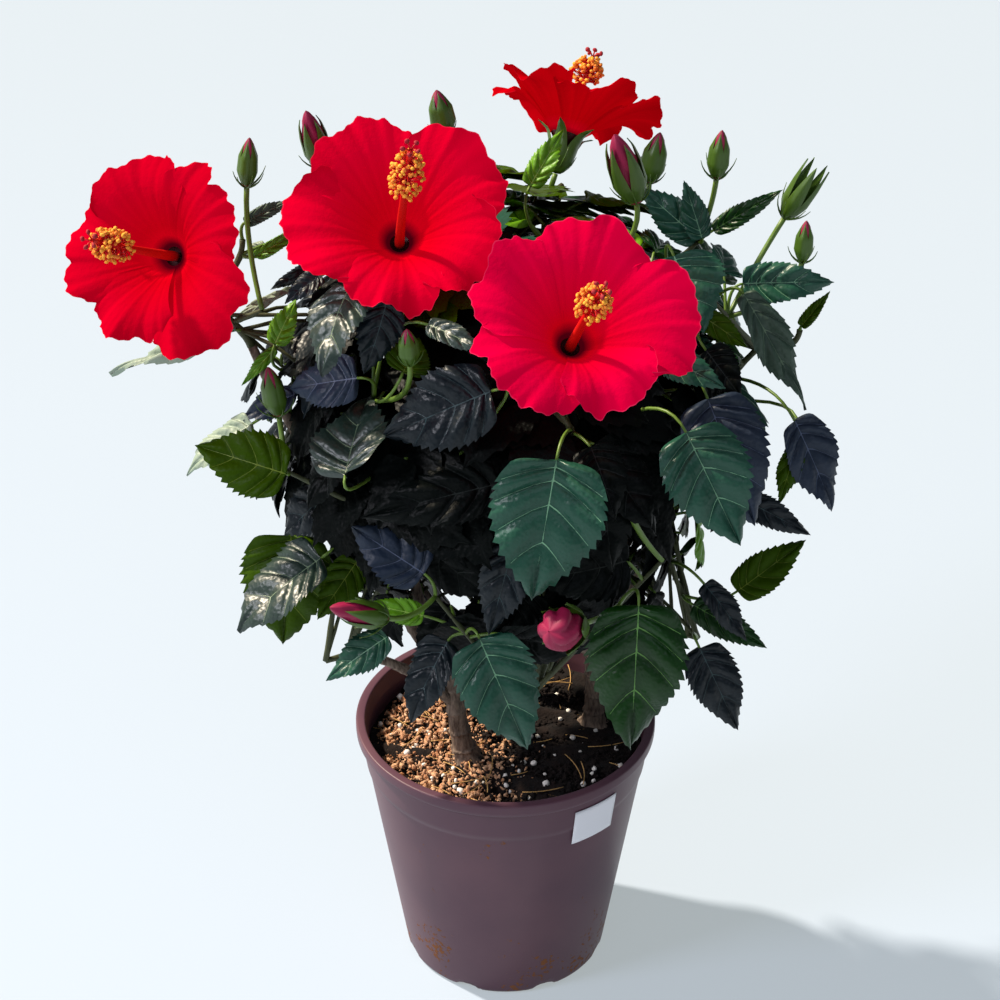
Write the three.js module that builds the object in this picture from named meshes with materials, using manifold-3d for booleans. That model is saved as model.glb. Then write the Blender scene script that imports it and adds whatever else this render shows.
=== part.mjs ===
// Potted hibiscus shrub in flower, about 61 cm tall, with its nursery pot.
// Millimetres, +Z up, -Y is the front, origin in the middle of the pot's underside.
// Turns and headings are degrees anticlockwise from +X, seen from above.
import * as THREE from "three";
import { mergeVertices } from "three/addons/utils/BufferGeometryUtils.js";
import Module from "manifold-3d";

const wasm = await Module();
wasm.setup();

const up = new THREE.Vector3(0, 0, 1);
const goldenTurn = 137.508;
const gap = 0.3; // between solids that meet

// The 19 cm pot: a lip, a band under it, and a wall that tapers to the foot.
const pot = {
  height: 180,
  lipRadius: 96.5,
  lipHeight: 8.5,
  lipWidth: 6,
  lipEdge: 1, // bevel of the rim
  bandRadius: 93,
  bandHeight: 22,
  bandStep: 1.5,
  footRadius: 66,
  footRound: 4,
  wall: 2,
  floor: 3,
  segments: 32,
  notches: 8,
  notchWidth: 14,
  notchHeight: 6,
  notchDeep: 8, // in from the foot's edge
};
const soil = { top: 160 };
const label = { turn: -52, width: 33, height: 28, thick: 0.4, below: 7, columns: 6 };

// Woody stems: foot on the soil, top at the fork, radius at both.
const stems = {
  stem_left: { foot: [-25, -20], top: [-36, -18, 262], radii: [6.6, 4.6], bend: -5 },
  stem_right: { foot: [57, 13], top: [50, 2, 265], radii: [6.4, 4.5], bend: 6 },
  stem_back: { foot: [0, 50], top: [8, 55, 268], radii: [7, 4.8], bend: 4 },
};
const stemShape = { flare: 1.75, flareHeight: 12, steps: [0, 0.04, 0.12, 0.35, 0.68, 1], sides: 8 };

// Each foliage mass keeps to the space nearer its seed than any other seed. Its bough leaves the stem
// at a share of the stem's length and ends at a share of the way from there to the seed.
const masses = [
  { name: "low_left", stem: "stem_left", leave: 0.42, share: 0.62, seed: [-110, -55, 285] },
  { name: "left", stem: "stem_left", leave: 0.57, share: 0.6, seed: [-135, 10, 400] },
  { name: "front_left", stem: "stem_left", leave: 0.72, share: 0.66, seed: [-70, -90, 410] },
  { name: "outer_left", stem: "stem_left", leave: 0.84, share: 0.8, seed: [-176, -22, 515] },
  { name: "top_left", stem: "stem_left", leave: 1, share: 0.72, seed: [-70, -28, 533] },
  { name: "low_right", stem: "stem_right", leave: 0.42, share: 0.6, seed: [118, -38, 290] },
  { name: "low_front", stem: "stem_right", leave: 0.56, share: 0.6, seed: [12, -108, 290] },
  { name: "right", stem: "stem_right", leave: 0.7, share: 0.66, seed: [150, 12, 465] },
  { name: "front", stem: "stem_right", leave: 0.82, share: 0.66, seed: [36, -106, 478] },
  { name: "top_right", stem: "stem_right", leave: 1, share: 0.7, seed: [94, 4, 522] },
  { name: "low_back", stem: "stem_back", leave: 0.42, share: 0.6, seed: [5, 118, 290] },
  { name: "back_left", stem: "stem_back", leave: 0.6, share: 0.62, seed: [-85, 100, 415] },
  { name: "back_right", stem: "stem_back", leave: 0.8, share: 0.62, seed: [95, 108, 405] },
  { name: "top_back", stem: "stem_back", leave: 1, share: 0.7, seed: [34, 84, 538] },
];
const bough = { radii: [4.3, 2.7], out: 0.3, rise: 0.42, rings: 4, sides: 6 };

// The crown that the shoots and leaves of the growth rule fill.
const crown = { centre: [0, 0, 398], half: [168, 156, 166] };
const shoot = {
  count: 5, // for each mass
  spread: 48, // from the seed to a shoot's tip
  lowest: -0.7, // sine of the steepest way down
  reach: 0.68, // of the crown, as far as a tip goes
  radii: [1.9, 1.2],
  sides: 3,
  coreRadii: [2.6, 1.8], // of the mass's own stem
  coreSides: 4,
  bare: 2, // points of that stem before its first shoot
  below: 24, // the mass's own stem ends this far under its seed
  bend: 0.4, // and keeps the bough's way for this share
  rise: 0.2,
  climb: 1.5, // what a millimetre down counts for in the choice of a stalk's foot
  arrive: 0.45,
  rings: 3,
};
const leaf = {
  seed: 7919,
  each: 6, // on a shoot
  first: 4, // from the shoot's tip
  space: 15, // along the shoot
  lowest: 0.12, // share of the shoot that stays bare
  scatter: 40, // degrees
  long: [58, 84],
  youngest: 0.55, // of full size, at the tip
  youngCount: 3,
  broad: [0.68, 0.84],
  petiole: [18, 40],
  petioleRadius: 1.1,
  petioleCorners: [[0.87, 0.5], [-0.87, 0.5], [0, -1]], // across and up, as shares of the radius
  thick: 1.7,
  rows: [0.24, 0.66],
  outline: [1.63, 1.9, 0.95], // swell at the foot, where the draw to the tip begins, its power
  droop: 0.16,
  fold: 0.1,
  faceOut: 0.8,
  faceUp: [0.3, 0.6],
  stalkAway: 0.8,
  stalkOut: 0.5,
  stalkUp: 0.25,
  hang: 0.8,
  tries: 9,
  tryTurn: 51,
  tryShrink: 0.95,
};
// Room that the growth rule leaves round what stands already, and how its tests sample it.
const clearance = {
  own: 6, // between blades of one mass
  other: 8, // to blades and twigs of another mass
  twig: 5, // to the mass's own twigs
  twigToLimb: 8,
  limb: 9,
  space: 2, // inside the mass's space
  overhang: 20, // that a blade may reach past it
  bloom: 56, // round the middle of an open flower
  guard: 0.36, // of a placed leaf's length, in front of its face
  guardOut: 20,
  beads: 6,
  half: 0.6, // of a blade's length, from its middle to its far points
  rows: [0.05, 0.23, 0.41, 0.59, 0.77, 0.95], // where a blade is tested, along and across
  columns: [-0.9, -0.45, 0, 0.45, 0.9],
};

// Ways that placed leaves look: heading and lift in degrees.
const faceWays = { front: [-90, 35], sun: [-140, 57], left: [-115, 40], right: [-68, 38] };

// Leaves with a place of their own, at the crown's edge and front: the reach, turn and height where
// they start, their length, heading, dip and breadth, and the way they look.
const placedLeaves = [
  { mass: "front", at: [143, -79, 455], long: 83, head: -116, dip: 68, broad: 0.88, face: "front" },
  { mass: "front", at: [154, -50, 459], long: 71, head: -42, dip: 53, broad: 0.78, face: "front" },
  { mass: "right", at: [140, -36, 460], long: 79, head: -46, dip: 58, broad: 0.68, face: "front" },
  { mass: "right", at: [173, -13, 421], long: 62, head: -32, dip: 57, broad: 0.62, face: "right" },
  { mass: "low_front", at: [159, -62, 359], long: 92, head: -96, dip: 74, broad: 0.7, face: "front" },
  { mass: "low_front", at: [126, -97, 326], long: 77, head: -40, dip: 60, broad: 0.71, face: "front" },
  { mass: "low_front", at: [110, -108, 310], long: 56, head: -144, dip: 53, broad: 0.6, face: "left" },
  { mass: "low_left", at: [134, -144, 351], long: 66, head: -162, dip: 31, broad: 0.82, face: "sun" },
  { mass: "low_left", at: [137, -159, 349], long: 77, head: -117, dip: 76, broad: 0.82, face: "front" },
  { mass: "low_left", at: [105, -132, 295], long: 47, head: -163, dip: 28, broad: 0.56, face: "left" },
  { mass: "low_front", at: [116, -114, 358], long: 50, head: 169, dip: -33, broad: 0.76, face: "front" },
  { mass: "low_front", at: [118, -92, 426], long: 79, head: -168, dip: 8, broad: 0.48, face: "front" },
  { mass: "low_front", at: [120, -88, 387], long: 58, head: -129, dip: 66, broad: 0.56, face: "front" },
  { mass: "front_left", at: [118, -94, 485], long: 73, head: 175, dip: 27, broad: 0.69, face: "front" },
  { mass: "front_left", at: [149, -127, 432], long: 61, head: 81, dip: -26, broad: 0.83, face: "sun" },
  { mass: "front_left", at: [118, -135, 474], long: 47, head: 162, dip: 16, broad: 0.74, face: "left" },
  { mass: "left", at: [127, -161, 441], long: 53, head: 175, dip: 26, broad: 0.44, face: "sun" },
  { mass: "front_left", at: [116, -138, 528], long: 52, head: -116, dip: 31, broad: 0.78, face: "sun" },
  { mass: "front_left", at: [107, -128, 522], long: 43, head: -125, dip: 63, broad: 0.66, face: "right" },
  { mass: "front_left", at: [101, -115, 512], long: 37, head: -41, dip: -1, broad: 0.45, face: "sun" },
  { mass: "front_left", at: [111, -121, 484], long: 22, head: 54, dip: -47, broad: 1.31, face: "front" },
  { mass: "front_left", at: [154, -145, 416], long: 56, head: 165, dip: -13, broad: 0.64, face: "front" },
  { mass: "left", at: [155, -162, 424], long: 50, head: -167, dip: 30, broad: 0.54, face: "sun" },
  { mass: "outer_left", at: [158, -171, 473], long: 86, head: 173, dip: 20, broad: 0.22, face: "sun" },
  { mass: "left", at: [139, -162, 474], long: 29, head: 18, dip: -64, broad: 0.59, face: "front" },
  { mass: "top_left", at: [119, -150, 526], long: 25, head: -150, dip: 20, broad: 0.65, face: "left" },
  { mass: "top_right", at: [99, -16, 522], long: 48, head: -65, dip: 38, broad: 1.09, face: "front" },
  { mass: "right", at: [138, -2, 493], long: 51, head: -16, dip: -11, broad: 0.56, face: "front" },
  { mass: "right", at: [139, -13, 500], long: 77, head: -34, dip: 50, broad: 0.34, face: "right" },
  { mass: "right", at: [117, -23, 496], long: 36, head: -25, dip: 25, broad: 0.47, face: "front" },
  { mass: "right", at: [128, -28, 479], long: 33, head: -43, dip: 36, broad: 0.8, face: "front" },
  { mass: "front", at: [123, -48, 495], long: 43, head: -29, dip: 13, broad: 0.54, face: "front" },
  { mass: "top_right", at: [115, 12, 508], long: 47, head: 164, dip: -40, broad: 0.55, face: "front" },
  { mass: "top_right", at: [123, 9, 516], long: 47, head: -19, dip: -39, broad: 0.3, face: "right" },
  { mass: "top_back", at: [33, 65, 539], long: 39, head: 36, dip: -52, broad: 0.45, face: "front" },
  { mass: "right", at: [176, -14, 409], long: 40, head: -120, dip: 59, broad: 0.44, face: "right" },
  { mass: "low_right", at: [149, -22, 378], long: 46, head: -22, dip: 18, broad: 0.44, face: "front" },
  { mass: "low_right", at: [147, -17, 304], long: 51, head: 6, dip: -40, broad: 0.55, face: "front" },
  { mass: "low_right", at: [135, -29, 324], long: 45, head: -26, dip: 44, broad: 0.45, face: "right" },
  { mass: "low_right", at: [124, -24, 299], long: 54, head: -14, dip: 27, broad: 0.42, face: "front" },
  { mass: "low_right", at: [136, -31, 281], long: 62, head: -28, dip: 61, broad: 0.58, face: "front" },
  { mass: "low_left", at: [110, -143, 341], long: 43, head: -144, dip: 45, broad: 0.63, face: "front" },
  { mass: "low_front", at: [114, -115, 327], long: 35, head: -169, dip: -21, broad: 0.5, face: "front" },
];

// Tips of shoots that carry placed leaves, buds and flowers.
const spurs = [
  { mass: "low_front", tip: [89, -112, 371] },
  { mass: "low_front", tip: [-41, -104, 341] },
  { mass: "front_left", tip: [-127, -80, 412] },
  { mass: "top_right", tip: [113, 24, 506] },
  { mass: "right", tip: [119, -20, 490] },
  { mass: "outer_left", tip: [-140, -30, 489] },
];

// Open flowers: the throat, the way they face, and the radius of the open petals.
const blooms = [
  { mass: "outer_left", at: [-181, -27, 522], head: -130, lift: 28, radius: 56, roll: 10 },
  { mass: "top_left", at: [-63, -35, 535], head: -84, lift: 64, radius: 61, roll: 30 },
  { mass: "front", at: [35, -113, 511], head: -69, lift: 54, radius: 60, roll: 0 },
  { mass: "top_back", at: [37, 72, 549], head: 66, lift: 47, radius: 50, roll: 20 },
];
const bloomShape = {
  spokes: 10, // two for each of the five petals
  depth: 0.45,
  curl: 112, // degrees of the sine that the petals follow from throat to edge
  lobe: 0.055,
  thick: 1.8,
  calyx: [[-24, 2.2], [-18, 7], [-8, 8.2], [-2, 6]], // height over the throat, radius
  column: [[2, 6], [7, 3]],
  columnRadius: 2.6,
  columnLong: 1.2, // of the flower's radius
  columnRise: 0.12,
  head: [[-30, 3], [-24, 8.5], [-13, 10.5], [-4, 7.5], [0, 2]], // height from the tip, radius
  stalkRadius: 1.6,
  stalkIn: 3, // that the stalk reaches into the cup
  slim: 12, // sections narrower than this rise with the column
  waist: 0.55, // of the petals, where their middle section lies
};

// Flower buds: the foot of the green cup, the length, the way they point, and the widest radius.
const buds = [
  { mass: "outer_left", at: [-148, 0, 553], long: 30, head: 0, lift: 84, radius: 6.5 },
  { mass: "top_left", at: [-105, 10, 560], long: 38, head: -150, lift: 76, radius: 8 },
  { mass: "top_left", at: [-35, 31, 571], long: 28, head: 180, lift: 80, radius: 7.5 },
  { mass: "top_right", at: [74, -4, 545], long: 46, head: -160, lift: 72, radius: 10 },
  { mass: "top_right", at: [84, 42, 536], long: 32, head: 0, lift: 80, radius: 7.5 },
  { mass: "top_right", at: [122, 26, 546], long: 30, head: 0, lift: 86, radius: 7 },
  { mass: "right", at: [163, 24, 522], long: 38, head: 0, lift: 62, radius: 8.5 },
  { mass: "right", at: [171, -6, 508], long: 26, head: 0, lift: 88, radius: 5.5 },
  { mass: "front_left", at: [-53, -100, 492], long: 22, head: 180, lift: 86, radius: 6 },
  { mass: "front_left", at: [-131, -58, 436], long: 34, head: -134, lift: 80, radius: 7 },
  { mass: "low_front", at: [-68, -132, 345], long: 38, head: -156, lift: 26, radius: 8 },
  { mass: "low_front", at: [40, -155, 356], long: 28, head: -129, lift: 20, radius: 11 },
];
const budShape = { rows: [0, 0.3, 0.66, 1], widths: [0.4, 1, 0.92, 0.14], sides: 5 };

const colours = {
  pot: { color: 0x6f6068, roughness: 0.5 },
  label: { color: 0xe9e9ee, roughness: 0.6 },
  soil: { color: 0x4a2618, roughness: 0.95 },
  bark: { color: 0x7c6a58, roughness: 0.85 },
  leaves: { color: 0x274a2c, roughness: 0.5 },
};

// ---- numbers and vectors ----

const vec = (p) => new THREE.Vector3(...p);
const rad = THREE.MathUtils.degToRad;
const mix = THREE.MathUtils.lerp;
const lerp = (a, b, t) => a.clone().lerp(b, t);

// A unit vector by its heading and its lift above the level.
const toward = (head, lift) =>
  new THREE.Vector3(
    Math.cos(rad(head)) * Math.cos(rad(lift)),
    Math.sin(rad(head)) * Math.cos(rad(lift)),
    Math.sin(rad(lift)),
  );

// A seeded run of numbers from 0 to 1.
function dice(seed) {
  let state = seed >>> 0;
  return () => {
    state = (Math.imul(state, 1664525) + 1013904223) >>> 0;
    return state / 4294967296;
  };
}

// The part of v that is square to n, as a unit vector.
const squared = (v, n) => v.clone().addScaledVector(n, -v.dot(n)).normalize();

// Points along a curve that leaves a and reaches b, drawn toward the middle point m.
const curve = (a, m, b, steps) => new THREE.QuadraticBezierCurve3(a, m, b).getPoints(steps);

const lineLength = (line) => line.slice(1).reduce((sum, p, k) => sum + p.distanceTo(line[k]), 0);

// The point at a share of a line's length, and the way that the line runs there.
function onLine(line, share) {
  let left = share * lineLength(line);
  for (let k = 1; k < line.length; k++) {
    const step = line[k].distanceTo(line[k - 1]);
    if (left <= step || k === line.length - 1)
      return {
        point: lerp(line[k - 1], line[k], left / step),
        way: line[k].clone().sub(line[k - 1]).normalize(),
      };
    left -= step;
  }
}

// Points evenly along a line, close enough together for the tests of what it would touch.
function beads(line) {
  const count = Math.ceil(lineLength(line) / clearance.beads);
  return Array.from({ length: count + 1 }, (_, k) => onLine(line, k / count).point);
}

const nearer = (points, others, reach) =>
  points.some((p) => others.some((q) => p.distanceToSquared(q) < reach * reach));

// ---- solids ----

// The closed solid of a three.js geometry or of corners and triangles.
function solidOf(geometry) {
  const bare = geometry.clone();
  bare.deleteAttribute("normal");
  bare.deleteAttribute("uv");
  const merged = mergeVertices(bare, 1e-4);
  return new wasm.Manifold(
    new wasm.Mesh({
      numProp: 3,
      vertProperties: new Float32Array(merged.attributes.position.array),
      triVerts: new Uint32Array(merged.index.array),
    }),
  );
}

function geometryOf(corners, faces) {
  return new THREE.BufferGeometry().setFromPoints(corners).setIndex(faces.flat());
}

// The faces between rings that each have the same number of corners.
function ringFaces(rings, sides) {
  const faces = [];
  for (let row = 0; row < rings - 1; row++)
    for (let k = 0; k < sides; k++) {
      const a = row * sides + k;
      const b = row * sides + ((k + 1) % sides);
      faces.push([a, b, b + sides], [a, b + sides, a + sides]);
    }
  return faces;
}

// A round limb through the points, one ring of corners at each; a flat foot keeps its first ring level.
function limbGeometry(points, radii, sides, levelFoot = false) {
  const corners = [];
  let side = new THREE.Vector3(1, 0, 0);
  points.forEach((point, row) => {
    const before = points[Math.max(row - 1, 0)];
    const after = points[Math.min(row + 1, points.length - 1)];
    const along = after.clone().sub(before).normalize();
    if (row === 0 && Math.abs(along.x) > 0.9) side = new THREE.Vector3(0, 1, 0);
    if (levelFoot && row === 0) along.copy(up);
    side = squared(side, along);
    const other = along.clone().cross(side);
    for (let k = 0; k < sides; k++) {
      const a = (2 * Math.PI * k) / sides;
      corners.push(
        point
          .clone()
          .addScaledVector(side, radii[row] * Math.cos(a))
          .addScaledVector(other, radii[row] * Math.sin(a)),
      );
    }
  });
  const faces = ringFaces(points.length, sides);
  const last = (points.length - 1) * sides;
  for (let k = 1; k < sides - 1; k++) faces.push([0, k + 1, k], [last, last + k, last + k + 1]);
  return geometryOf(corners, faces);
}

const limb = (points, radii, sides, levelFoot) =>
  solidOf(limbGeometry(points, radii, sides, levelFoot));

// The largest piece of the joined solids: hollows that the joining seals are filled, scraps dropped.
function joined(solids) {
  const whole = solids.reduce((a, b) => a.add(b));
  const pieces = whole.decompose().sort((a, b) => b.volume() - a.volume());
  return pieces[0];
}

function meshOf(name, solid, look) {
  const { vertProperties, triVerts } = solid.getMesh();
  const geometry = new THREE.BufferGeometry()
    .setAttribute("position", new THREE.BufferAttribute(new Float32Array(vertProperties), 3))
    .setIndex(new THREE.BufferAttribute(new Uint32Array(triVerts), 1));
  geometry.computeVertexNormals();
  const mesh = new THREE.Mesh(geometry, new THREE.MeshStandardMaterial({ metalness: 0, ...look }));
  mesh.name = name;
  return mesh;
}

// ---- pot, soil and label ----

const wallRadius = (z) => mix(pot.footRadius, pot.bandRadius, z / (pot.height - pot.lipHeight));

// A solid turned about the Z axis from [radius, height] pairs.
function turned(profile) {
  const points = profile.map(([r, z]) => new THREE.Vector2(r, z));
  return solidOf(new THREE.LatheGeometry(points, pot.segments).rotateX(Math.PI / 2));
}

function potSolid() {
  const lipFoot = pot.height - pot.lipHeight;
  const bandFoot = lipFoot - pot.bandHeight;
  const body = turned([
    [0, 0],
    [pot.footRadius - pot.footRound, 0],
    [wallRadius(pot.footRound), pot.footRound],
    [wallRadius(bandFoot) - pot.bandStep, bandFoot - pot.bandStep],
    [wallRadius(bandFoot), bandFoot],
    [pot.bandRadius, lipFoot],
    [pot.lipRadius, lipFoot],
    [pot.lipRadius, pot.height - pot.lipEdge],
    [pot.lipRadius - pot.lipEdge, pot.height],
    [pot.lipRadius - pot.lipWidth + pot.lipEdge, pot.height],
    [pot.lipRadius - pot.lipWidth, pot.height - pot.lipEdge],
    [innerRadius(soil.top), soil.top],
    [innerRadius(pot.floor), pot.floor],
    [0, pot.floor],
  ]);
  const cuts = [];
  for (let k = 0; k < pot.notches; k++) {
    const notch = new THREE.BoxGeometry(2 * pot.notchDeep, pot.notchWidth, 2 * pot.notchHeight)
      .translate(pot.footRadius, 0, 0)
      .rotateZ(rad((360 / pot.notches) * (k + 0.5)));
    cuts.push(solidOf(notch));
  }
  return cuts.reduce((left, cut) => left.subtract(cut), body);
}

function innerRadius(z) {
  return wallRadius(z) - pot.wall - pot.bandStep;
}

const soilSolid = () =>
  turned([
    [0, pot.floor + gap],
    [innerRadius(pot.floor) - gap, pot.floor + gap],
    [innerRadius(soil.top) - gap, soil.top],
    [0, soil.top],
  ]);

// A thin curved plate on the band, under the lip.
function labelSolid() {
  const top = pot.height - pot.lipHeight - label.below;
  const foot = top - label.height;
  const { columns } = label;
  const corners = [];
  const faces = [];
  for (let k = 0; k <= columns; k++) {
    const turn = rad(label.turn) + (label.width / pot.bandRadius) * (k / columns - 0.5);
    for (const [z, out] of [[top, 0], [top, label.thick], [foot, label.thick], [foot, 0]]) {
      const r = wallRadius(z) + 2 * gap + out;
      corners.push(new THREE.Vector3(r * Math.cos(turn), r * Math.sin(turn), z));
    }
  }
  for (let k = 0; k < columns; k++)
    for (let j = 0; j < 4; j++) {
      const a = 4 * k + j;
      const b = 4 * k + ((j + 1) % 4);
      faces.push([a, b, b + 4], [a, b + 4, a + 4]);
    }
  const last = 4 * columns;
  faces.push([0, 2, 1], [0, 3, 2], [last, last + 1, last + 2], [last, last + 2, last + 3]);
  return solidOf(geometryOf(corners, faces));
}

// ---- stems and boughs ----

const stemLine = (s) => {
  const foot = new THREE.Vector3(...s.foot, soil.top + gap);
  const top = vec(s.top);
  const middle = lerp(foot, top, 0.5).add(new THREE.Vector3(s.bend, s.bend / 2, 0));
  return new THREE.QuadraticBezierCurve3(foot, middle, top);
};

// The radius tapers evenly and flares over the last millimetres above the soil.
function stemRadius(s, z) {
  const rise = z - soil.top - gap;
  const even = mix(s.radii[0], s.radii[1], rise / (s.top[2] - soil.top));
  return even * (1 + (stemShape.flare - 1) * Math.exp(-rise / (stemShape.flareHeight / 2)));
}

// A stem, or the seat that boughs leave clear round it, larger by extra.
function stemSolid(s, extra) {
  const points = stemShape.steps.map((t) => stemLine(s).getPoint(t));
  const radii = points.map((p) => stemRadius(s, p.z) + extra);
  points.at(-1).addScaledVector(stemLine(s).getTangent(1), extra);
  return limb(points, radii, stemShape.sides, true);
}

// A bough's line: out of the stem, out and up, to where its mass begins.
function boughLine(mass) {
  const line = stemLine(stems[mass.stem]);
  const from = line.getPoint(mass.leave);
  const end = lerp(from, vec(mass.seed), mass.share);
  const span = end.distanceTo(from);
  const outward = end.clone().sub(from).setZ(0).normalize();
  const middle = from
    .clone()
    .addScaledVector(outward, bough.out * span)
    .addScaledVector(up, bough.rise * span);
  return curve(from, middle, end, bough.rings);
}

function boughSolid(mass, extra) {
  const points = boughLine(mass);
  const radii = points.map((_, row) => mix(...bough.radii, row / bough.rings) + extra);
  const seat = stemSolid(stems[mass.stem], gap);
  return joined([limb(points, radii, bough.sides).subtract(seat)]);
}

// ---- the growth rule ----

const seeds = masses.map((m) => vec(m.seed));
const inCrown = (p) => {
  const [x, y, z] = p.clone().sub(vec(crown.centre)).toArray();
  return Math.hypot(x / crown.half[0], y / crown.half[1], z / crown.half[2]);
};

// How far p lies inside the space of a seed: the distance to the nearest wall between two seeds.
function depthIn(p, own) {
  let least = Infinity;
  seeds.forEach((seed, k) => {
    if (k === own) return;
    const wall = seed.clone().sub(seeds[own]);
    const middle = lerp(seed, seeds[own], 0.5);
    least = Math.min(least, -p.clone().sub(middle).dot(wall) / wall.length());
  });
  return least;
}

// Points along every stem and bough, with the mass whose bough it is.
const limbLines = [
  ...Object.values(stems).map((s) => ({ own: null, points: beads(stemLine(s).getPoints(bough.rings)) })),
  ...masses.map((m, own) => ({ own, points: beads(boughLine(m)) })),
];

// A shoot from its foot on the mass's own stem to its tip, arched where the space has room for it.
function shootLine(foot, tip, own) {
  const middle = lerp(foot, tip, 0.5).addScaledVector(up, shoot.rise * foot.distanceTo(tip));
  if (depthIn(middle, own) < clearance.space) middle.copy(lerp(foot, tip, 0.5));
  return curve(foot, middle, tip, shoot.rings);
}

// Tips of a mass's shoots, on a spiral round its seed, drawn in to the crown.
function shootTips(mass, own) {
  const centre = vec(crown.centre);
  return Array.from({ length: shoot.count }, (_, k) => {
    const sine = mix(shoot.lowest, 1, (k + 0.5) / shoot.count);
    const way = toward(goldenTurn * (k + own), THREE.MathUtils.radToDeg(Math.asin(sine)));
    const tip = vec(mass.seed).addScaledVector(way, shoot.spread);
    return lerp(centre, tip, Math.min(1, shoot.reach / inCrown(tip)));
  });
}

// A skeleton for each mass: its own stem, which goes on from the bough, and the shoots on it. A shoot
// that would leave the space is skipped, and so is one that passes too near a limb from every foot.
function skeleton(mass, own) {
  const line = boughLine(mass);
  const { point: end, way } = onLine(line, 1);
  const from = end.clone().addScaledVector(way, gap);
  const top = vec(mass.seed).addScaledVector(up, -shoot.below);
  const middle = from.clone().addScaledVector(way, shoot.bend * top.distanceTo(from));
  const core = curve(from, middle, top, 2 * shoot.rings);
  const feet = core.slice(shoot.bare);
  const clearOfLimbs = (points) =>
    limbLines.every((l) => l.own === own || !nearer(beads(points), l.points, clearance.twigToLimb));
  const twigs = [{ points: core, radii: shoot.coreRadii, sides: shoot.coreSides }];
  shootTips(mass, own).forEach((tip, k) => {
    if (depthIn(tip, own) < 2 * clearance.space) return;
    const lines = feet.map((_, j) => shootLine(feet[(k + j) % feet.length], tip, own));
    const points = lines.find(clearOfLimbs);
    if (points) twigs.push({ points, radii: shoot.radii, sides: shoot.sides });
  });
  for (const spur of spurs.filter((s) => s.mass === mass.name)) {
    const tip = vec(spur.tip);
    const foot = feet.reduce((a, b) => (b.distanceTo(tip) < a.distanceTo(tip) ? b : a));
    const points = curve(foot, lerp(foot, tip, 0.5), tip, shoot.rings);
    twigs.push({ points, radii: shoot.radii, sides: shoot.sides });
  }
  return twigs;
}

// A blade's frame: where it starts, the way it runs, its side and its upper face.
function bladeFrame(base, runs, face) {
  const normal = squared(face, runs);
  return { base, runs, side: normal.clone().cross(runs), normal };
}

// A point of the blade, by its share of the length and its share of the half width.
function onBlade(blade, along, across, lift = 0) {
  const half = (blade.long * blade.broad) / 2;
  const width = across * half * bladeWidth(along);
  const sag = -leaf.droop * blade.long * along * along + leaf.fold * Math.abs(width);
  return blade.base
    .clone()
    .addScaledVector(blade.runs, blade.long * along)
    .addScaledVector(blade.side, width)
    .addScaledVector(blade.normal, sag + lift);
}

// Half width of a blade along its length, from its round foot to its drawn-out tip.
function bladeWidth(along) {
  const [swell, fall, draw] = leaf.outline;
  return Math.min(1, swell * Math.sqrt(along) * (1 - along ** fall) ** draw);
}

// A leaf in one piece: its stalk, three corners round, opens at the foot of the blade into the left
// edge, the right edge and the rib under them, and closes at the tip.
function leafSolid({ blade, stalk: points }) {
  const corners = [];
  points.forEach((point, row) => {
    const last = row === points.length - 1;
    const along = last ? blade.runs : points[row + 1].clone().sub(point).normalize();
    const side = squared(blade.side, along);
    const normal = along.clone().cross(side);
    for (const [a, b] of leaf.petioleCorners)
      corners.push(
        point
          .clone()
          .addScaledVector(side, a * leaf.petioleRadius)
          .addScaledVector(normal, b * leaf.petioleRadius),
      );
  });
  for (const along of leaf.rows)
    corners.push(
      onBlade(blade, along, 1),
      onBlade(blade, along, -1),
      onBlade(blade, along, 0, -leaf.thick),
    );
  const tip = corners.length;
  corners.push(onBlade(blade, 1, 0));
  const faces = [[0, 2, 1], ...ringFaces(tip / 3, 3)];
  for (let k = 0; k < 3; k++) faces.push([tip - 3 + k, tip - 3 + ((k + 1) % 3), tip]);
  return solidOf(geometryOf(corners, faces));
}

// Points spread over a blade, for the tests of what it would touch.
function bladePoints(blade) {
  const points = [];
  for (const along of clearance.rows)
    for (const across of clearance.columns) points.push(onBlade(blade, along, across));
  return points;
}

const bladeCorners = (blade) => [
  onBlade(blade, 0, 0),
  onBlade(blade, 1, 0),
  ...leaf.rows.flatMap((along) => [onBlade(blade, along, 1), onBlade(blade, along, -1)]),
];

// The nearest point of a mass's skeleton to p, with a climb counted dear so that stalks rise.
function nearestTwigPoint(twigs, p) {
  let best = null;
  let least = Infinity;
  for (const twig of twigs)
    for (const point of twig.points.slice(1)) {
      const far = point.distanceTo(p) + shoot.climb * Math.max(0, point.z - p.z);
      if (far < least) [best, least] = [point, far];
    }
  return best;
}

// A stalk from the skeleton to p that arrives along the given way.
function stalk(twigs, p, arriving) {
  const from = nearestTwigPoint(twigs, p);
  const middle = p.clone().addScaledVector(arriving, -shoot.arrive * from.distanceTo(p));
  return curve(from, middle, p, shoot.rings);
}

const plan = masses.map((mass, own) => ({
  mass,
  own,
  twigs: skeleton(mass, own),
  placed: [],
  leaves: [],
}));
const planOf = (name) => plan.find((entry) => entry.mass.name === name);

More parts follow.
